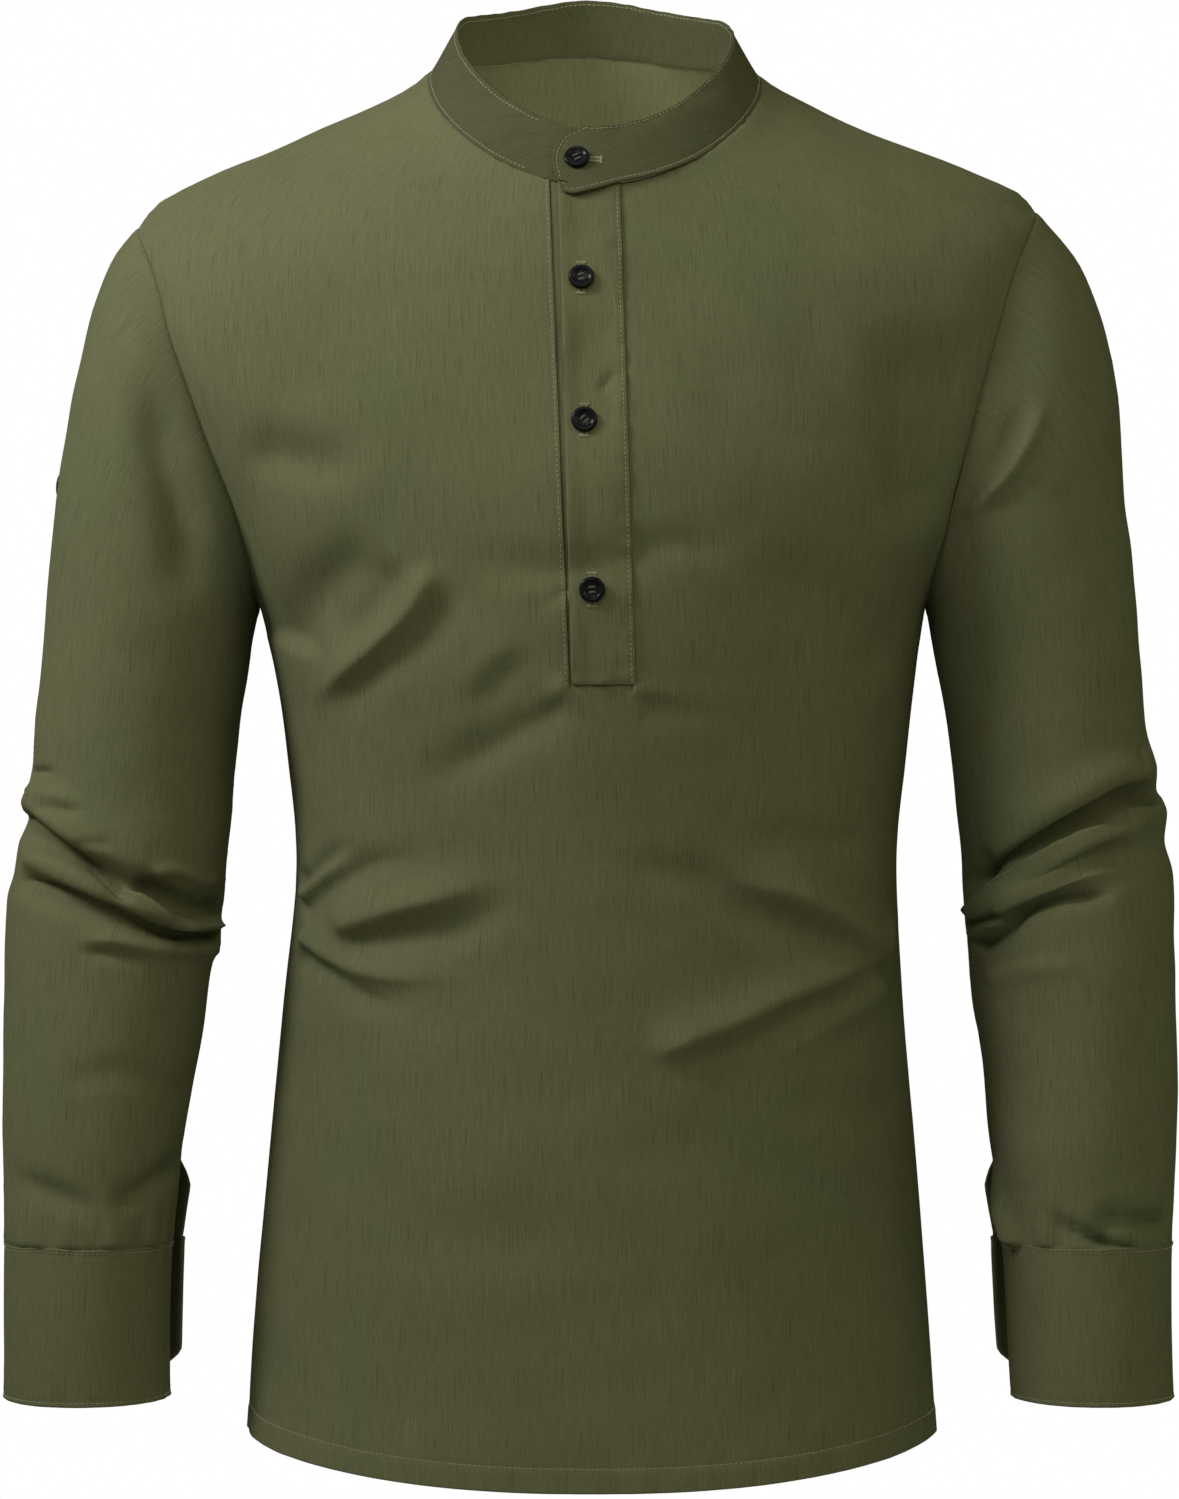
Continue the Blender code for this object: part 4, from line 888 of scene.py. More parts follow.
def make_front():
    """The front panel, its coarse grid, and the coarse row of the placket's bottom."""
    coarse = coarse_front()
    columns = np.concatenate(
        [
            places(0, PLACKET_FIRST, FRONT_STEP),
            places(PLACKET_FIRST, PLACKET_LAST, HIDDEN_STEP, NEAR_PLACKET)[1:-1],
            places(PLACKET_LAST, COLUMNS_FRONT, FRONT_STEP),
        ]
    )
    bottom = np.interp(PLACKET_BOTTOM, coarse[:, PLACKET_FIRST, 2], np.arange(len(coarse)))
    rows = paced(coarse[:, COLUMNS_SIDE // 2], FRONT_PACES, NEAR_HEM, NEAR_SEAM)
    rows[nearest(rows, bottom)] = bottom
    points = read_grid(coarse, rows, columns)
    down, up, start, end = edge_distances(points)
    seam = np.minimum(np.minimum(start, end), up)
    height = front_height(points, seam) + seam_profile(seam) + hem_profile(points, down)
    # Beside the placket the front is turned under and stitched.
    x, z = points[..., 0], points[..., 2]
    left, right = (placket_x(line, z) for line in (PLACKET_LEFT, PLACKET_RIGHT))
    beside = np.where(x < (left + right) / 2, left - x, x - right)
    turned = smooth_step((z - PLACKET_BOTTOM) / 0.002) * (beside > -0.0005)
    height += turned * stitched_profile(np.abs(beside), SEAM_STITCH, STITCH_RAISE)
    uv = cloth_uv(points, nearest(columns, COLUMNS_FRONT / 2), nearest(rows, LEVEL_ROW))
    points = points + outward(points) * height[..., None]
    hole = (columns[:-1] >= PLACKET_FIRST - 1e-6) & (columns[1:] <= PLACKET_LAST + 1e-6)
    shown = ~((rows[:-1, None] >= bottom - 1e-6) & hole)
    panel = make_cloth("front_panel", "front", points, uv, linen("linen_front", 1), shown=shown)
    return panel, coarse, bottom


def make_back():
    coarse = coarse_back()
    rows = paced(coarse[:, COLUMNS_BACK // 2], BACK_PACES, NEAR_HEM, NEAR_SEAM)
    columns = places(0, COLUMNS_BACK, BACK_STEP)
    points = read_grid(coarse, rows, columns)
    down, up, start, end = edge_distances(points)
    seam = np.minimum(np.minimum(start, end), up)
    height = (swell(points, 31) + fold_heights(points, BACK_FOLDS)) * smooth_step(seam / SEAM_FADE)
    height += seam_profile(seam) + hem_profile(points, down)
    uv = cloth_uv(points, len(columns) // 2, nearest(rows, LEVEL_ROW))
    points = points + outward(points) * height[..., None]
    return make_cloth("back_panel", "back", points, uv, linen("linen_back", 2))


def make_placket(coarse, bottom_row):
    """The two strips, which follow the front across its opening. Returns the upper one, and how far each
    of its points lies from its sewn edge."""
    rows = places(bottom_row, len(coarse) - 1, STRIP_STEP, NEAR_BOTTOM, NEAR_TOP)
    columns = np.linspace(PLACKET_FIRST - STRIP_MARGIN, PLACKET_LAST + STRIP_MARGIN, STRIP_READ)
    wide = read_grid(coarse, rows, columns)
    seam = np.linalg.norm(wide - wide[-1:], axis=-1)
    wide = wide + outward(wide) * (front_height(wide, seam) + seam_profile(seam))[..., None]
    across = places(0, 1, STRIP_ACROSS, NEAR_SIDES)

    def strip(left, right):
        made = []
        for row in wide:
            start, end = (placket_x(line, row[len(row) // 2, 2]) for line in (left, right))
            made.append(read_at(start + (end - start) * across, row[:, 0], row))
        return np.array(made)

    def make_strip(which, points, look, wall=WALL):
        node = "placket_" + {"lower": "under", "upper": "upper"}[which]
        uv = cloth_uv(points, len(across) // 2, 0)
        return make_cloth(f"placket_{which}_strip", node, points, uv, look, wall)

    under = strip(PLACKET_LEFT, PLACKET_RIGHT)
    make_strip("lower", under - outward(under) * UNDER_DEPTH, linen("linen_placket_under", 3))
    upper = strip(PLACKET_EDGE, [x + PLACKET_LAP for x in PLACKET_RIGHT])
    bottom, _, start, end = edge_distances(upper)
    sewn = np.minimum(end, bottom)
    lift = STRIP_LIFT + swell(upper * 1.7, 71) * 0.6 * smooth_step(sewn / 0.009)
    # The free edge stands a little off the cloth below between the buttons, and the fixed edge is
    # stitched down along two lines.
    free = smooth_step((FREE_WIDTH - start) / FREE_WIDTH) * smooth_step(bottom / 0.02)
    gape = 0.5 - 0.5 * np.cos((upper[..., 2] - TOP_BUTTON_Z) / GAPE_PERIOD * FULL_TURN)
    lift += free * (FREE_LIFT + FREE_GAPE * gape)
    lift += stitched_profile(end, STRIP_STITCH) - 0.0003 * bell(sewn, 0.0012)
    lift += 0.0002 * ripples(upper, 0.012, 77) * bell(sewn, 0.006)
    upper = upper + outward(upper) * lift[..., None]
    return make_strip("upper", upper, linen("linen_placket_upper", 4), STRIP_WALL), end


# ---- Sleeves and cuffs. Turns start at the outer side and go by the front.

SLEEVE_COLUMNS = 160
FRONT_SHARE = 0.67  # of a sleeve's columns, on its front half
SLEEVE_TUCK = 0.0012  # how far a sleeve's first row lies under the armhole's edge
SLEEVE_MIDDLE = 0.65  # share of a turn from the slit to the middle of the front
NEAR_SLIT = (0.0, 0.0012, 0.0028, 0.005)
ELBOW_Z, ELBOW_REACH = -0.395, 0.045  # where the soft creases behind the elbow are
ELBOW_WAVE, ELBOW_HEIGHT = 0.020, 0.0016
GATHER_WAVE, GATHER_HEIGHT, GATHER_REACH = 0.013, 0.0006, 0.032
CUFF_ROWS, CUFF_COLUMNS = 30, 190
NEAR_CUFF_ENDS, NEAR_CUFF_SIDES = (0, 0.008, 0.018, 0.03, 0.045), (0, 0.0012, 0.0026, 0.0045, 0.007)
UNDER_SINK = 0.0008  # the cuff's lower layer stays this far clear of the upper one
PUCKER_WAVE = 0.010  # of the puckers that a stitch line draws into a cuff or the collar band
TOP_WAVE, TOP_WAVE_HEIGHT = 0.030, 0.0005  # the waves of a cuff's top edge
CUFF_EDGE = 0.0014  # the cuff's stitch line from its edges
ROUND_PITCH = 0.045  # a sleeve's radius, which turns a turn into metres


def sleeve_point(ring, turn, side, lift):
    across, ahead = np.cos(turn), np.sin(turn)
    x = (ring.outer_x + ring.inner_x) / 2 + (ring.outer_x - ring.inner_x) / 2 * across
    y = ring.centre_y - np.where(ahead > 0, ring.front, ring.back) * ahead
    z = (ring.outer_z + ring.inner_z) / 2 + (ring.outer_z - ring.inner_z) / 2 * across
    z = z + ring.front_z * np.maximum(0, ahead)
    return np.stack([side * (x + lift * across), y - lift * ahead, z + 0 * x], axis=-1)


def armhole_point(turn, side):
    """The point of the armhole that a sleeve's column starts from."""
    turn = turn % FULL_TURN
    front = turn < math.pi
    share = np.where(front, 1 - turn / math.pi, turn / math.pi - 1)
    ring = read_table(TORSO, armhole_rows(share))
    edge = np.where(front, edge_angle(ring, share, True), math.pi - edge_angle(ring, share, False))
    return torso_point(ring, side * edge)


def flap_lift(turn):
    spread = np.clip(1 - (turn - FLAP_END) / FLAP_SPREAD, 0, 1)
    return FLAP_STAND_OFF * spread**2


def sleeve_rows(table):
    """Fractional rows of the table, spaced by the paces along the sleeve's middle."""
    ring = read_table(table, np.arange(len(table), dtype=float))
    middle = ((ring.outer_x + ring.inner_x) / 2, ring.centre_y, (ring.outer_z + ring.inner_z) / 2)
    return paced(np.stack(middle, axis=-1), SLEEVE_PACES, NEAR_SEAM, NEAR_SEAM)


def sleeve_turns():
    """Shares of a turn from the slit on, closer together on the front half and beside the slit."""
    share = np.linspace(0, 1, 2001)
    front = np.sin(SLIT_TURN + FULL_TURN * share)
    density = np.interp(front, [-0.25, 0.15], [1 - FRONT_SHARE, FRONT_SHARE])
    count = np.concatenate([[0], np.cumsum((density[1:] + density[:-1]) / 2)])
    even = np.interp(np.linspace(0, count[-1], SLEEVE_COLUMNS + 1), count, share)
    near, inner = np.array(NEAR_SLIT), even[(even > 0.008) & (even < 0.992)]
    return np.concatenate([near, inner, 1 - near[::-1]])


def seam_gap(turn):
    """1 all round the sleeve but near the slit's line, where both sides have to meet."""
    return smooth_step(np.minimum(turn - SLIT_TURN, SLIT_TURN + FULL_TURN - turn) / 0.25)


def back_creases(points, turn, seed):
    """Plain soft creases behind the elbow, where none are seen."""
    behind = smooth_step((-np.sin(turn) - 0.35) / 0.4) * seam_gap(turn)
    wave = ripples(points * np.array([0.35, 0.35, 1.0]), ELBOW_WAVE, seed + 9)
    return ELBOW_HEIGHT * wave * bell(points[..., 2] - ELBOW_Z, ELBOW_REACH) * behind


def make_sleeve(label, seed):
    side, table = SIDES[label], SLEEVES[label]
    slit_row = row_of(table, "slit_top")
    at = sleeve_rows(table)
    tube_rows = int(np.searchsorted(at, slit_row)) + 1
    at[tube_rows - 1] = slit_row
    turns = sleeve_turns()
    opened = smooth_step((at - slit_row) / 0.8)[:, None]
    turn = SLIT_TURN + FULL_TURN * turns[None, :] + 0 * at[:, None]
    turn = turn - SLIT_WIDTH * opened * smooth_step((turns - 0.9) / 0.1)
    turn = turn - SLIT_LEAD * opened * smooth_step(1 - turns / 0.14)
    stand_off = np.interp(at, slit_row + np.arange(3), SLIT_STAND_OFF)[:, None]
    points = sleeve_point(read_table(table, at[:, None]), turn, side, flap_lift(turn) * stand_off)
    first = read_table(table, np.zeros((1, 1)))
    blend = (1 - smooth_step(at / CAP_RINGS))[:, None, None]
    points = points + (armhole_point(turn, side) - sleeve_point(first, turn, side, 0)) * blend
    normals = outward(points, tube_rows) * side
    down = lengths(points, 0)
    up = down[-1:] - down
    # The grain runs straight down the middle of the sleeve's front.
    across, level, middle = lengths(points, 1), len(at) // 3, nearest(turns, SLEEVE_MIDDLE)
    u, v = across - across[:, middle : middle + 1], down - down[level] - points[level, :, 2]
    uv = np.stack([u, v], axis=-1)
    fade = smooth_step(down / SEAM_FADE) * smooth_step((up + 0.001) / 0.005)
    height = fold_heights(points, SLEEVE_FOLDS[label]) * smooth_step((np.sin(turn) + 0.15) / 0.5) * fade
    height += back_creases(points, turn, seed) * fade + swell(points, seed) * fade * seam_gap(turn)
    # Small gathers run up from the cuff.
    round_place = np.stack([turn * ROUND_PITCH, turn * 0, points[..., 2] * 0.25], axis=-1)
    gather = ripples(round_place, GATHER_WAVE, seed + 5) * GATHER_HEIGHT
    height += gather * smooth_step((GATHER_REACH - up) / 0.030) * smooth_step(up / 0.003)
    height += seam_profile(down) - 0.0006 * bell(up, 0.0018)
    points = points + normals * height[..., None]
    # The first row is tucked in under the armhole's edge, so that no light comes through the seam.
    tuck = SLEEVE_TUCK * bell(down, 0.0004)
    points = points - tuck[..., None] * (np.array([side, 0, 0]) + 0.4 * normals)
    if side < 0:
        points, uv = points[:, ::-1], uv[:, ::-1]
    look = linen(f"linen_sleeve_{label}", seed)
    return make_cloth(f"sleeve_{label}_panel", f"sleeve_{label}", points, uv, look, tube_rows=tube_rows)


def make_cuff(label, seed, stitches):
    side, wrist = SIDES[label], SLEEVES[label][-1]
    heights = places(0, 1, 1 / CUFF_ROWS, NEAR_CUFF_ENDS)
    drop = (CUFF_HEIGHT * heights)[:, None]
    inner_x = wrist.inner_x + CUFF_TAPER[label] * heights[:, None]
    ring = wrist._replace(outer_z=wrist.outer_z - drop, inner_z=wrist.inner_z - drop, inner_x=inner_x)
    short = FLAP_CORNER / wrist.back * smooth_step((heights - CORNER_START) / (CORNER_END - CORNER_START))
    share = places(0, 1, 1 / CUFF_COLUMNS, NEAR_CUFF_SIDES)
    begin = FLAP_END + short[:, None]
    turn = begin + (FULL_TURN + UNDER_END - begin) * share[None, :]
    points = sleeve_point(ring, turn, side, flap_lift(turn))
    normals = outward(points) * side
    top, bottom, start, _ = edge_distances(points)
    # The lower layer, past a full turn, stays clear of the upper one.
    under = smooth_step((turn - FULL_TURN - FLAP_END + 0.25) / 0.25)
    height = swell(points, seed) * 0.5 * (1 - under) - under * UNDER_SINK
    height += stitched_profile(np.minimum(np.minimum(top, bottom), start), CUFF_EDGE, STITCH_RAISE)
    pucker = ripples(points, PUCKER_WAVE, seed + 3, stretch=(1, 1, 0.3))
    height += pucker * (0.00022 * bell(top, 0.007) + 0.00015 * bell(bottom, 0.006))
    height += 0.00025 * bell(top, 0.0012)
    uv = cloth_uv(points, points.shape[1] // 2, 0)
    uv[..., 0] = np.interp(turn, turn[0], uv[0, :, 0])
    points = points + normals * height[..., None]
    # The top edge waves a little, as the sleeve's gathers pull at it.
    wave = ripples(np.stack([turn * ROUND_PITCH, turn * 0, turn * 0], axis=-1), TOP_WAVE, seed + 7)
    points[..., 2] += TOP_WAVE_HEIGHT * (1 + np.clip(wave, -1, 1)) * bell(top, 0.012)
    if side < 0:
        points, uv, top, bottom, turn = (each[:, ::-1] for each in (points, uv, top, bottom, turn))
    look = linen(f"linen_cuff_{label}", seed)
    sheet = make_cloth(f"cuff_{label}_band", f"cuff_{label}", points, uv, look, BAND_WALL)
    # Stitches along the top and bottom edges of the part that shows.
    seen = turn[0] < FULL_TURN + FLAP_END - 0.1
    for distance in (top, bottom):
        path, ways = line_on(sheet.points, sheet.normals, distance, CUFF_EDGE)
        stitches.run(path[seen], ways[seen])
    return sheet


# ---- The collar band.

BAND_ROWS, BAND_COLUMNS = 18, 340
BAND_EDGE = 0.0020  # the band's stitch line from its edges
NEAR_BAND_EDGES, NEAR_BAND_ENDS = (0, 0.015, 0.035, 0.06), (0, 0.0008, 0.0018, 0.003, 0.0045)
DIP_TURN, DIP_LIFT = 0.30, 0.0016  # the corner's dip dies out over this turn, and stands off this far
DIP_WAY = np.array([0, -0.30, -0.95])
BAND_FRONT_Y = -0.02  # the part of the band ahead of this is its front
SEEN_END = -0.030  # x where the upper layer covers the lower one's stitches


def band_point(angle, height, lift):
    """Points of the collar band at a share of its height, standing off the neck by lift."""
    inwards = np.stack([-np.sin(angle), np.cos(angle), 0 * angle], axis=-1)
    upright = np.array([0, 0, 1.0])
    up = inwards * math.sin(BAND_LEAN) + upright * math.cos(BAND_LEAN)
    out = upright * math.sin(BAND_LEAN) - inwards * math.cos(BAND_LEAN)
    tall = height * (BAND_HEIGHT + BAND_RISE * np.cos(angle) - BAND_SIDE * np.sin(angle) ** 2)
    return torso_point(NECK, angle) + up * tall[..., None] + out * lift[..., None]


def make_collar(stitches):
    heights = places(0, 1, 1 / BAND_ROWS, NEAR_BAND_EDGES)
    outline = smooth_line(np.array([(height * BAND_HEIGHT, x) for height, x in BAND_OVER_END]))
    begin = angle_at(NECK, np.interp(heights * BAND_HEIGHT, *outline.T))[:, None]
    finish = FULL_TURN + angle_at(NECK, BAND_UNDER_END)
    share = places(0, 1, 1 / BAND_COLUMNS, NEAR_BAND_ENDS)
    angle = begin + (finish - begin) * share[None, :]
    height = heights[:, None] + 0 * angle
    clear = angle_at(NECK, BAND_UNDER_END + BAND_CLEAR)
    lift = BAND_LIFT * (1 - smooth_step((angle - clear) / BAND_FADE))
    dip = np.clip((angle_at(NECK, BAND_DIP_END) - angle) / DIP_TURN, 0, 1) * (1 - height) ** 1.3
    points = band_point(angle, height, lift + DIP_LIFT * np.minimum(1, 2 * dip))
    points = points + DIP_WAY * (BAND_DIP * dip)[..., None]
    base, top, start, _ = edge_distances(points)
    edge = np.minimum(top, start)
    move = swell(points, 91) * 0.45 * smooth_step(edge / 0.006)
    move += fold_heights(points, BAND_FOLDS) * (points[..., 1] < BAND_FRONT_Y)
    move += stitched_profile(edge, BAND_EDGE, 0.00025) + stitched_profile(base, BAND_EDGE, STITCH_RAISE)
    move += 0.00018 * ripples(points, PUCKER_WAVE, 95) * bell(np.minimum(edge, base), 0.006)
    uv = cloth_uv(points, points.shape[1] // 2, 0)
    points = points + outward(points) * move[..., None]
    # The band's linen is darkened: painted shade, for the shade that the band lies in.
    look = linen("linen_collar", 6, COLLAR_PAINTED_SHADE)
    sheet = make_cloth("collar_band_cloth", "collar_band", points, uv, look, BAND_WALL)
    normals = sheet.normals
    seen = angle[0] < FULL_TURN + angle_at(NECK, SEEN_END)
    for distance in (top, base):
        path, ways = line_on(points, normals, distance, BAND_EDGE)
        stitches.run(path[seen], ways[seen], start=0.0016)
    stitches.run(*line_on(points, normals, start, BAND_EDGE, upright=True), start=0.002, end=0.002)
    # Inside, the stitches show again along the back.
    inside = points - normals * BAND_WALL
    behind = inside[0, :, 1] > BAND_FRONT_Y
    path, ways = line_on(inside, -normals, top, BAND_EDGE)
    stitches.run(path[behind], ways[behind])
    return sheet


# ---- Buttons and their buttonholes.

BUTTON_RADIUS, BUTTON_SIDES = 0.0063, 64
BUTTON_SINK = 0.0001  # how far a button's back presses into its cloth
# A button's profile from the middle of its top to the middle of its back: shares of its radius, and
# heights in millimetres.
BUTTON_PROFILE = (
    (0.0, 1.7), (0.30, 1.7), (0.46, 1.75), (0.56, 1.9), (0.64, 2.2), (0.71, 2.5), (0.79, 2.65), (0.87, 2.6),
    (0.94, 2.3), (0.985, 1.9), (1.0, 1.4), (0.985, 0.9), (0.92, 0.4), (0.80, 0.1), (0.50, 0.0), (0.0, 0.0),
)  # fmt: skip
BUTTON_TOP = BUTTON_PROFILE[0][1] / 1000
HOLE_RADIUS, HOLE_PITCH, HOLE_SIDES = 0.00078, 0.0025, 20
HOLES = [(x * HOLE_PITCH / 2, y * HOLE_PITCH / 2) for x, y in ((1, 1), (-1, 1), (-1, -1), (1, -1))]
DRILL_FROM, DRILL_TO = -0.004, 0.006
SLIT_LENGTH = 0.0150  # of a buttonhole
SLIT_STITCH, SLIT_STEP = 0.0016, 0.00062  # the length of its threads, and their pitch
SLIT_THREAD, BAR_THREAD = 0.00042, 0.00044  # how wide its threads are along its sides and across its ends
BAR_REACH, BAR_STEP = 0.0022, 0.0006  # how far its ends' threads reach to each side, and their pitch
COLLAR_SLIT_SHIFT = 0.004  # the collar's buttonhole reaches past its button
RAY_START = 0.010  # rays start this far above the cloth
Button = namedtuple("Button", "way slit tilt")  # which way it faces, and its buttonhole's way if it has one
BUTTONS = {
    "button_collar": Button((0, -1, 0), "across", 25),
    "button_placket_1": Button((0, -1, 0), "up", 12),
    "button_placket_2": Button((0, -1, 0), "up", 40),
    "button_placket_3": Button((0, -1, 0), "up", 5),
    "button_sleeve_left": Button((1, 0, 0), "", 20),
    "button_sleeve_right": Button((-1, 0, 0), "", 50),
    "button_cuff_left": Button((-0.75, 0.66, 0), "across", 10),
    "button_cuff_right": Button((0.75, 0.66, 0), "across", 35),
}


def cast(tree, start, way, reach=1e9):
    """Where a ray from start meets the cloth, and the cloth's normal there."""
    found, normal, _, _ = tree.ray_cast(Vector(start.tolist()), Vector(way.tolist()), reach)
    return (None, None) if found is None else (np.array(found), np.array(normal))


def cloth_tree(obj):
    verts, faces = obj.data.vertices, obj.data.polygons
    return BVHTree.FromPolygons([v.co.copy() for v in verts], [tuple(p.vertices) for p in faces])


def button_place(name):
    """Where a button stands on its cloth and the way it faces, from the CAD node."""
    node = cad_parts[name]
    points = np.array([list(node.matrix_world @ v.co) for v in node.data.vertices])
    middle = points.mean(axis=0)
    axis = np.linalg.svd(points - middle, full_matrices=False)[2][2]
    axis = axis * np.sign(axis @ np.array(BUTTONS[name].way))
    return middle + axis * ((points - middle) @ axis).min(), axis


def axes_for(axis, tilt=0.0):
    """The two directions across axis: the first level, turned by tilt, and the second square to it."""
    across = unit(np.cross(np.array([0, 0, 1.0]), axis))
    turn = math.radians(tilt)
    x = across * math.cos(turn) + np.cross(axis, across) * math.sin(turn)
    return x, np.cross(axis, x)


def button_seat(name, cloth):
    """The button's place moved along its own axis until its back rests on the fine cloth."""
    base, axis = button_place(name)
    x, y = axes_for(axis)
    tree = cloth_tree(cloth)
    heights = []
    for cos, sin in circle(12):
        for share in (0.0, 0.5, 0.8):
            start = base + (x * cos + y * sin) * share * BUTTON_RADIUS + axis * RAY_START
            found, _ = cast(tree, start, -axis, 2 * RAY_START)
            if found is not None:
                heights.append((found - base) @ axis)
    return base + axis * (max(heights) - BUTTON_SINK), axis


def make_button(name, seat, look):
    """A turned button with a raised rim and four drilled holes."""
    base, axis = seat
    rings = [(BUTTON_RADIUS * share, height / 1000) for share, height in BUTTON_PROFILE[1:-1]]
    verts = [(radius * cos, radius * sin, z) for radius, z in rings for cos, sin in circle(BUTTON_SIDES)]
    top, under = len(verts), len(verts) + 1
    verts += [(0, 0, BUTTON_TOP), (0, 0, 0)]
    faces = [square[::-1] for square in tube_faces(len(rings), BUTTON_SIDES)]
    last = (len(rings) - 1) * BUTTON_SIDES
    for k in range(BUTTON_SIDES):
        after = (k + 1) % BUTTON_SIDES
        faces += [(top, k, after), (under, last + after, last + k)]
    obj = make_piece(name + "_turned", verts, faces, look)
    drills = [make_pin(x, y, look) for x, y in HOLES]
    for drill in drills:
        cut = obj.modifiers.new("hole", "BOOLEAN")
        cut.operation, cut.solver, cut.object = "DIFFERENCE", "EXACT", drill
    data = bpy.data.meshes.new_from_object(obj.evaluated_get(bpy.context.evaluated_depsgraph_get()))
    obj.modifiers.clear()
    for drill in drills:
        bpy.data.objects.remove(drill)
    turned = np.identity(4)
    turned[:3] = np.stack([*axes_for(axis, BUTTONS[name].tilt), axis, base], axis=1)
    data.transform(Matrix(turned.tolist()))
    data.shade_smooth()
    obj.data = data
    dress(obj, "button", name)


def make_pin(x, y, look):
    """An upright pin that drills a button's hole."""
    ring = [(x + HOLE_RADIUS * cos, y + HOLE_RADIUS * sin) for cos, sin in circle(HOLE_SIDES)]
    verts = [(*place, z) for z in (DRILL_FROM, DRILL_TO) for place in ring]
    ends = [tuple(range(HOLE_SIDES))[::-1], tuple(range(HOLE_SIDES, 2 * HOLE_SIDES))]
    return make_piece("pin", verts, tube_faces(2, HOLE_SIDES) + ends, look, smooth=False)


def sew_button(name, seat, stitches):
    """Thread down through the four holes: two bars on the top, of three strands each."""
    base, axis = seat
    x, y = axes_for(axis, BUTTONS[name].tilt)
    for side in (-1, 1):
        for k in (-0.35, 0.0, 0.35):
            up, sideways = BUTTON_TOP + 0.00008 * (1 - abs(k)), side * HOLE_PITCH / 2 + k * 0.0006
            stitches.thread(base + axis * up + y * sideways, x, axis, HOLE_PITCH + 0.0011)


def sew_buttonhole(name, stitches, cloth, shift=0.0):
    """Close threads along both sides of a slit and across its ends, lying on the cloth."""
    base, axis = button_place(name)
    along, across = axes_for(axis)
    if BUTTONS[name].slit == "up":
        along, across = across, along
    tree = cloth_tree(cloth)

    def sew(forward, sideways, way, lift, length, width):
        point, normal = cast(tree, base + along * forward + across * sideways + axis * RAY_START, -axis)
        if point is not None:
            normal = unit(normal * np.sign(normal @ axis))
            stitches.thread(point + normal * lift, way, normal, length, width)

    rng = np.random.default_rng(len(name))
    for side in (-1, 1):
        for s in np.arange(-SLIT_LENGTH / 2, SLIT_LENGTH / 2, SLIT_STEP):
            place, slant = rng.uniform(-0.5, 0.5, 2)
            way = across * side + along * 0.25 * slant
            length = SLIT_STITCH * (1 + 0.15 * slant)
            forward, sideways = s + shift + place * 0.0001, side * (SLIT_STITCH / 2 + 0.0002)
            sew(forward, sideways, way, 0.0001, length, SLIT_THREAD)
    for end in (-1, 1):
        for k in np.arange(-BAR_REACH, BAR_REACH + 0.0001, BAR_STEP):
            sew(end * (SLIT_LENGTH / 2 + 0.0004) + shift, k, along, 0.00015, SLIT_STITCH, BAR_THREAD)


# ---- The shirt.

seam_threads, button_threads = Stitches(), Stitches()
front, front_coarse, placket_row = make_front()
back = make_back()
sleeve_panels = {"left": make_sleeve("left", 21), "right": make_sleeve("right", 26)}
cuff_bands = {"left": make_cuff("left", 41, seam_threads), "right": make_cuff("right", 46, seam_threads)}
collar_cloth = make_collar(seam_threads)
strip, strip_end = make_placket(front_coarse, placket_row)

for sheet in (front, back):
    seam_threads.run(*line_on(sheet.points, sheet.normals, lengths(sheet.points), HEM_TURN))
seam_threads.run(*beside_placket(front, PLACKET_LEFT, -SEAM_STITCH), pitch=0.0026, length=0.0017)
strip_line = line_on(strip.points, strip.normals, strip_end, STRIP_STITCH, upright=True)
seam_threads.run(*strip_line, start=0.001, end=0.001)

gloss = gloss_look("button_gloss")
cloth_below = {"button_collar": collar_cloth}
for k in (1, 2, 3):
    cloth_below[f"button_placket_{k}"] = strip
for label in SIDES:
    cloth_below[f"button_sleeve_{label}"] = sleeve_panels[label]
    cloth_below[f"button_cuff_{label}"] = cuff_bands[label]
for name in BUTTONS:
    seat = button_seat(name, cloth_below[name].piece)
    make_button(name, seat, gloss)
    sew_button(name, seat, button_threads)
for k in (1, 2, 3):
    sew_buttonhole(f"button_placket_{k}", seam_threads, strip.piece)
sew_buttonhole("button_collar", seam_threads, collar_cloth.piece, COLLAR_SLIT_SHIFT)
for label in SIDES:
    sew_buttonhole(f"button_cuff_{label}", seam_threads, cuff_bands[label].piece)

seam_piece = dress(seam_threads.made("seam_stitching", thread_look("seam_thread", THREAD)), "linen")
dress(button_threads.made("button_stitching", thread_look("button_thread", DARK_THREAD)), "button")

# ---- Cloth, as cut: a record for the width all round on a tube, the length, the area and what holds it, of what shows. None is filled in here.

Cut = namedtuple("Cut", "width length area held")

# ---- The stage, light and camera.

FLOOR_SIZE, FLOOR_Z, FLOOR_COLOUR = 3.0, -1.45, (0.82, 0.82, 0.82)
CAMERA, LENS, SENSOR = (-0.001, -2.2, -0.339), 103.6, 36.0
WORLD_LIGHT = (0.25, 0.25, 0.17)

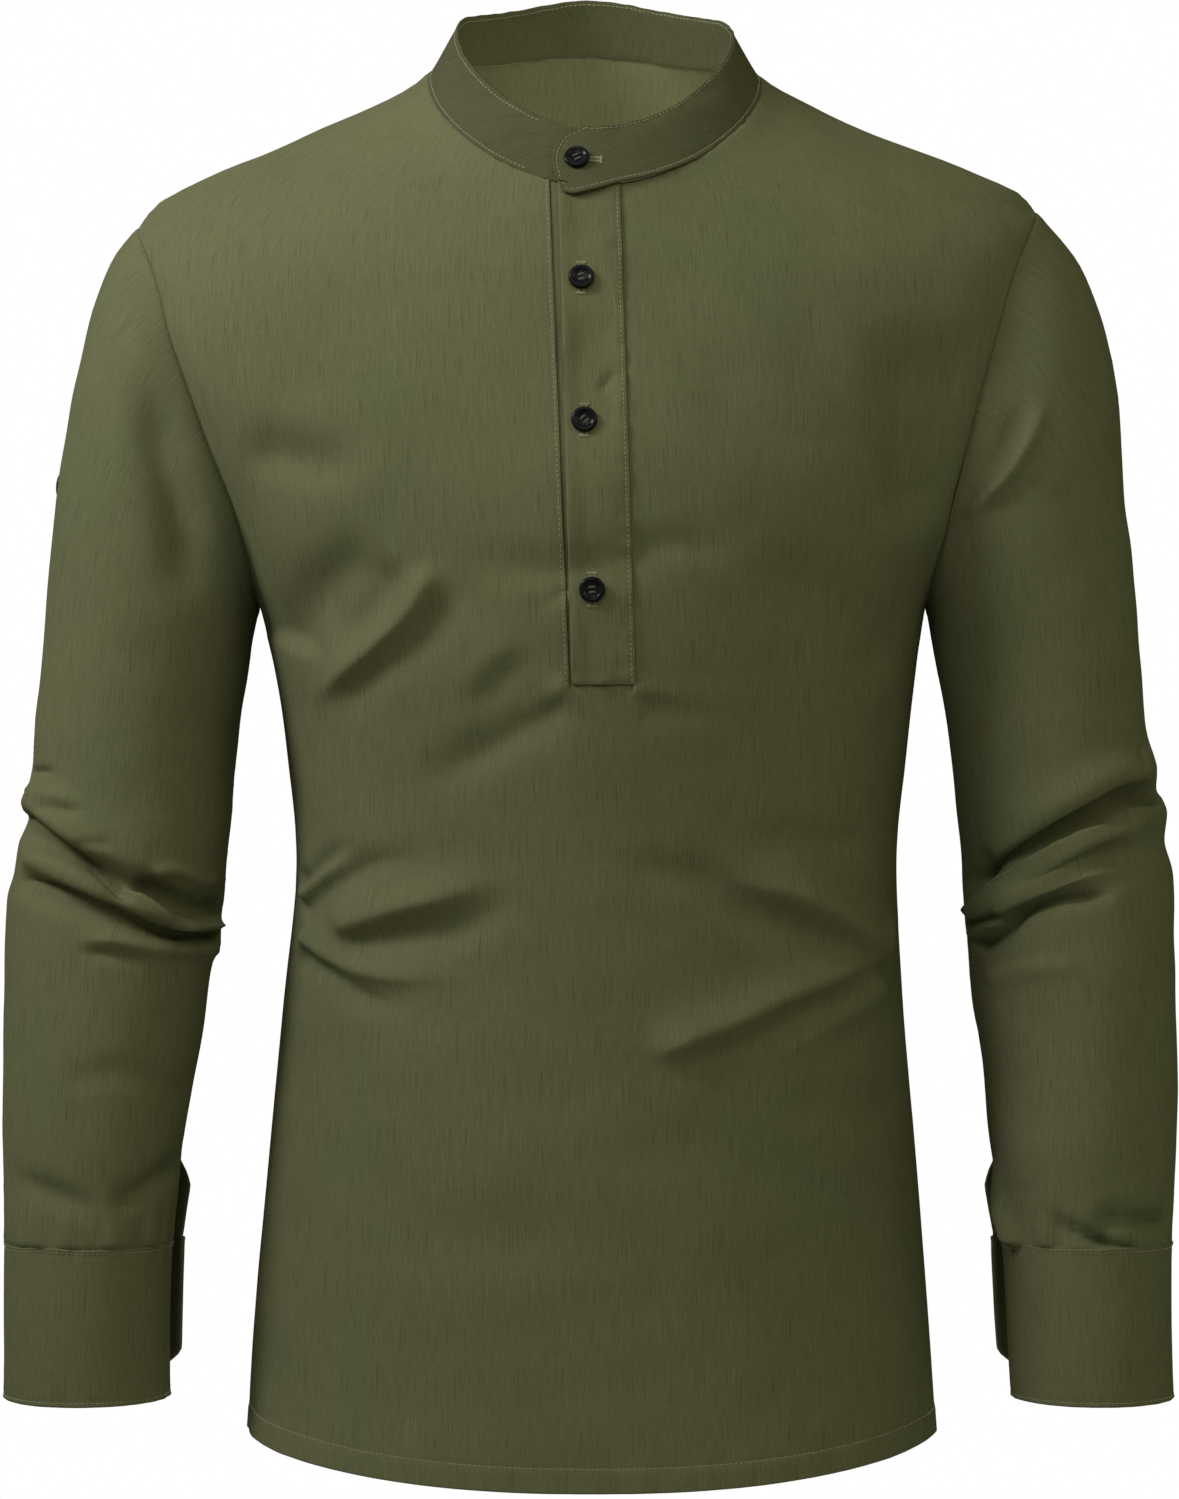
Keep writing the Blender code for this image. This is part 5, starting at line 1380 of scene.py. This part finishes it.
# The key is plain white, and what fills the shadows is warmer.
Lamp = namedtuple("Lamp", "name place aim size power colour")
LAMPS = [
    Lamp("key", (-1.20, -0.60, 0.78), (0, 0, 0.6), 0.6, 32.5, (1, 1, 1)),
    Lamp("front", (-0.3, -1.5, 0.9), (0, 0, 0.4), 0.9, 10.5, (1, 1, 0.9)),
    Lamp("fill", (1.25, -1.3, 0.8), (0, 0, 0.1), 1.2, 8.5, (1, 1, 0.7)),
    Lamp("neck", (0, -0.072, -0.11), (0, 0.06, 0.01), 0.06, 0.27, (1, 1, 0.8)),
    Lamp("back", (0.3, 2.4, 1.0), (0, 0, -0.35), 1.6, 40.0, (1, 1, 0.9)),
]


def place_object(name, data, place):
    obj = bpy.data.objects.new(name, data)
    obj.location = place
    bpy.context.scene.collection.objects.link(obj)
    return obj


def make_floor():
    look, made, shader = new_look("floor_paper")
    made.put(shader, {"Base Color": FLOOR_COLOUR, "Roughness": 0.9})
    verts = [(x * FLOOR_SIZE, y * FLOOR_SIZE, FLOOR_Z) for x, y in ((-1, -1), (1, -1), (1, 1), (-1, 1))]
    make_piece("floor", verts, [(0, 1, 2, 3)], look, smooth=False)


def make_camera():
    data = bpy.data.cameras.new("camera")
    data.lens, data.sensor_width, data.clip_end = LENS, SENSOR, 50
    camera = place_object("camera", data, CAMERA)
    camera.rotation_euler = (math.pi / 2, 0, 0)
    bpy.context.scene.camera = camera


def make_lights():
    for lamp in LAMPS:
        data = bpy.data.lights.new(lamp.name, "AREA")
        data.shape, data.size, data.energy, data.color = "DISK", lamp.size, lamp.power, lamp.colour
        light = place_object(lamp.name, data, lamp.place)
        light.rotation_mode = "QUATERNION"
        light.rotation_quaternion = (Vector(lamp.aim) - Vector(lamp.place)).to_track_quat("-Z", "Y")


def make_world():
    """White where the camera looks past the shirt, also in reflections, and a dim warm light on the shirt."""
    world = bpy.data.worlds.new("studio")
    world.use_nodes = True
    world.node_tree.nodes.clear()
    made = Nodes(world.node_tree)
    path = made.add("LightPath").outputs
    through = made.math("MAXIMUM", path["Is Glossy Ray"], path["Is Transmission Ray"])
    seen = made.math("MAXIMUM", path["Is Camera Ray"], through)
    dim, white = (made.add("Background", {"Color": colour}).outputs[0] for colour in (WORLD_LIGHT, (1, 1, 1)))
    made.add("OutputWorld", {"Surface": made.add("MixShader", {0: seen, 1: dim, 2: white}).outputs[0]})
    bpy.context.scene.world = world


make_floor()
make_camera()
make_lights()
make_world()
bpy.context.scene.view_settings.view_transform = "Standard"
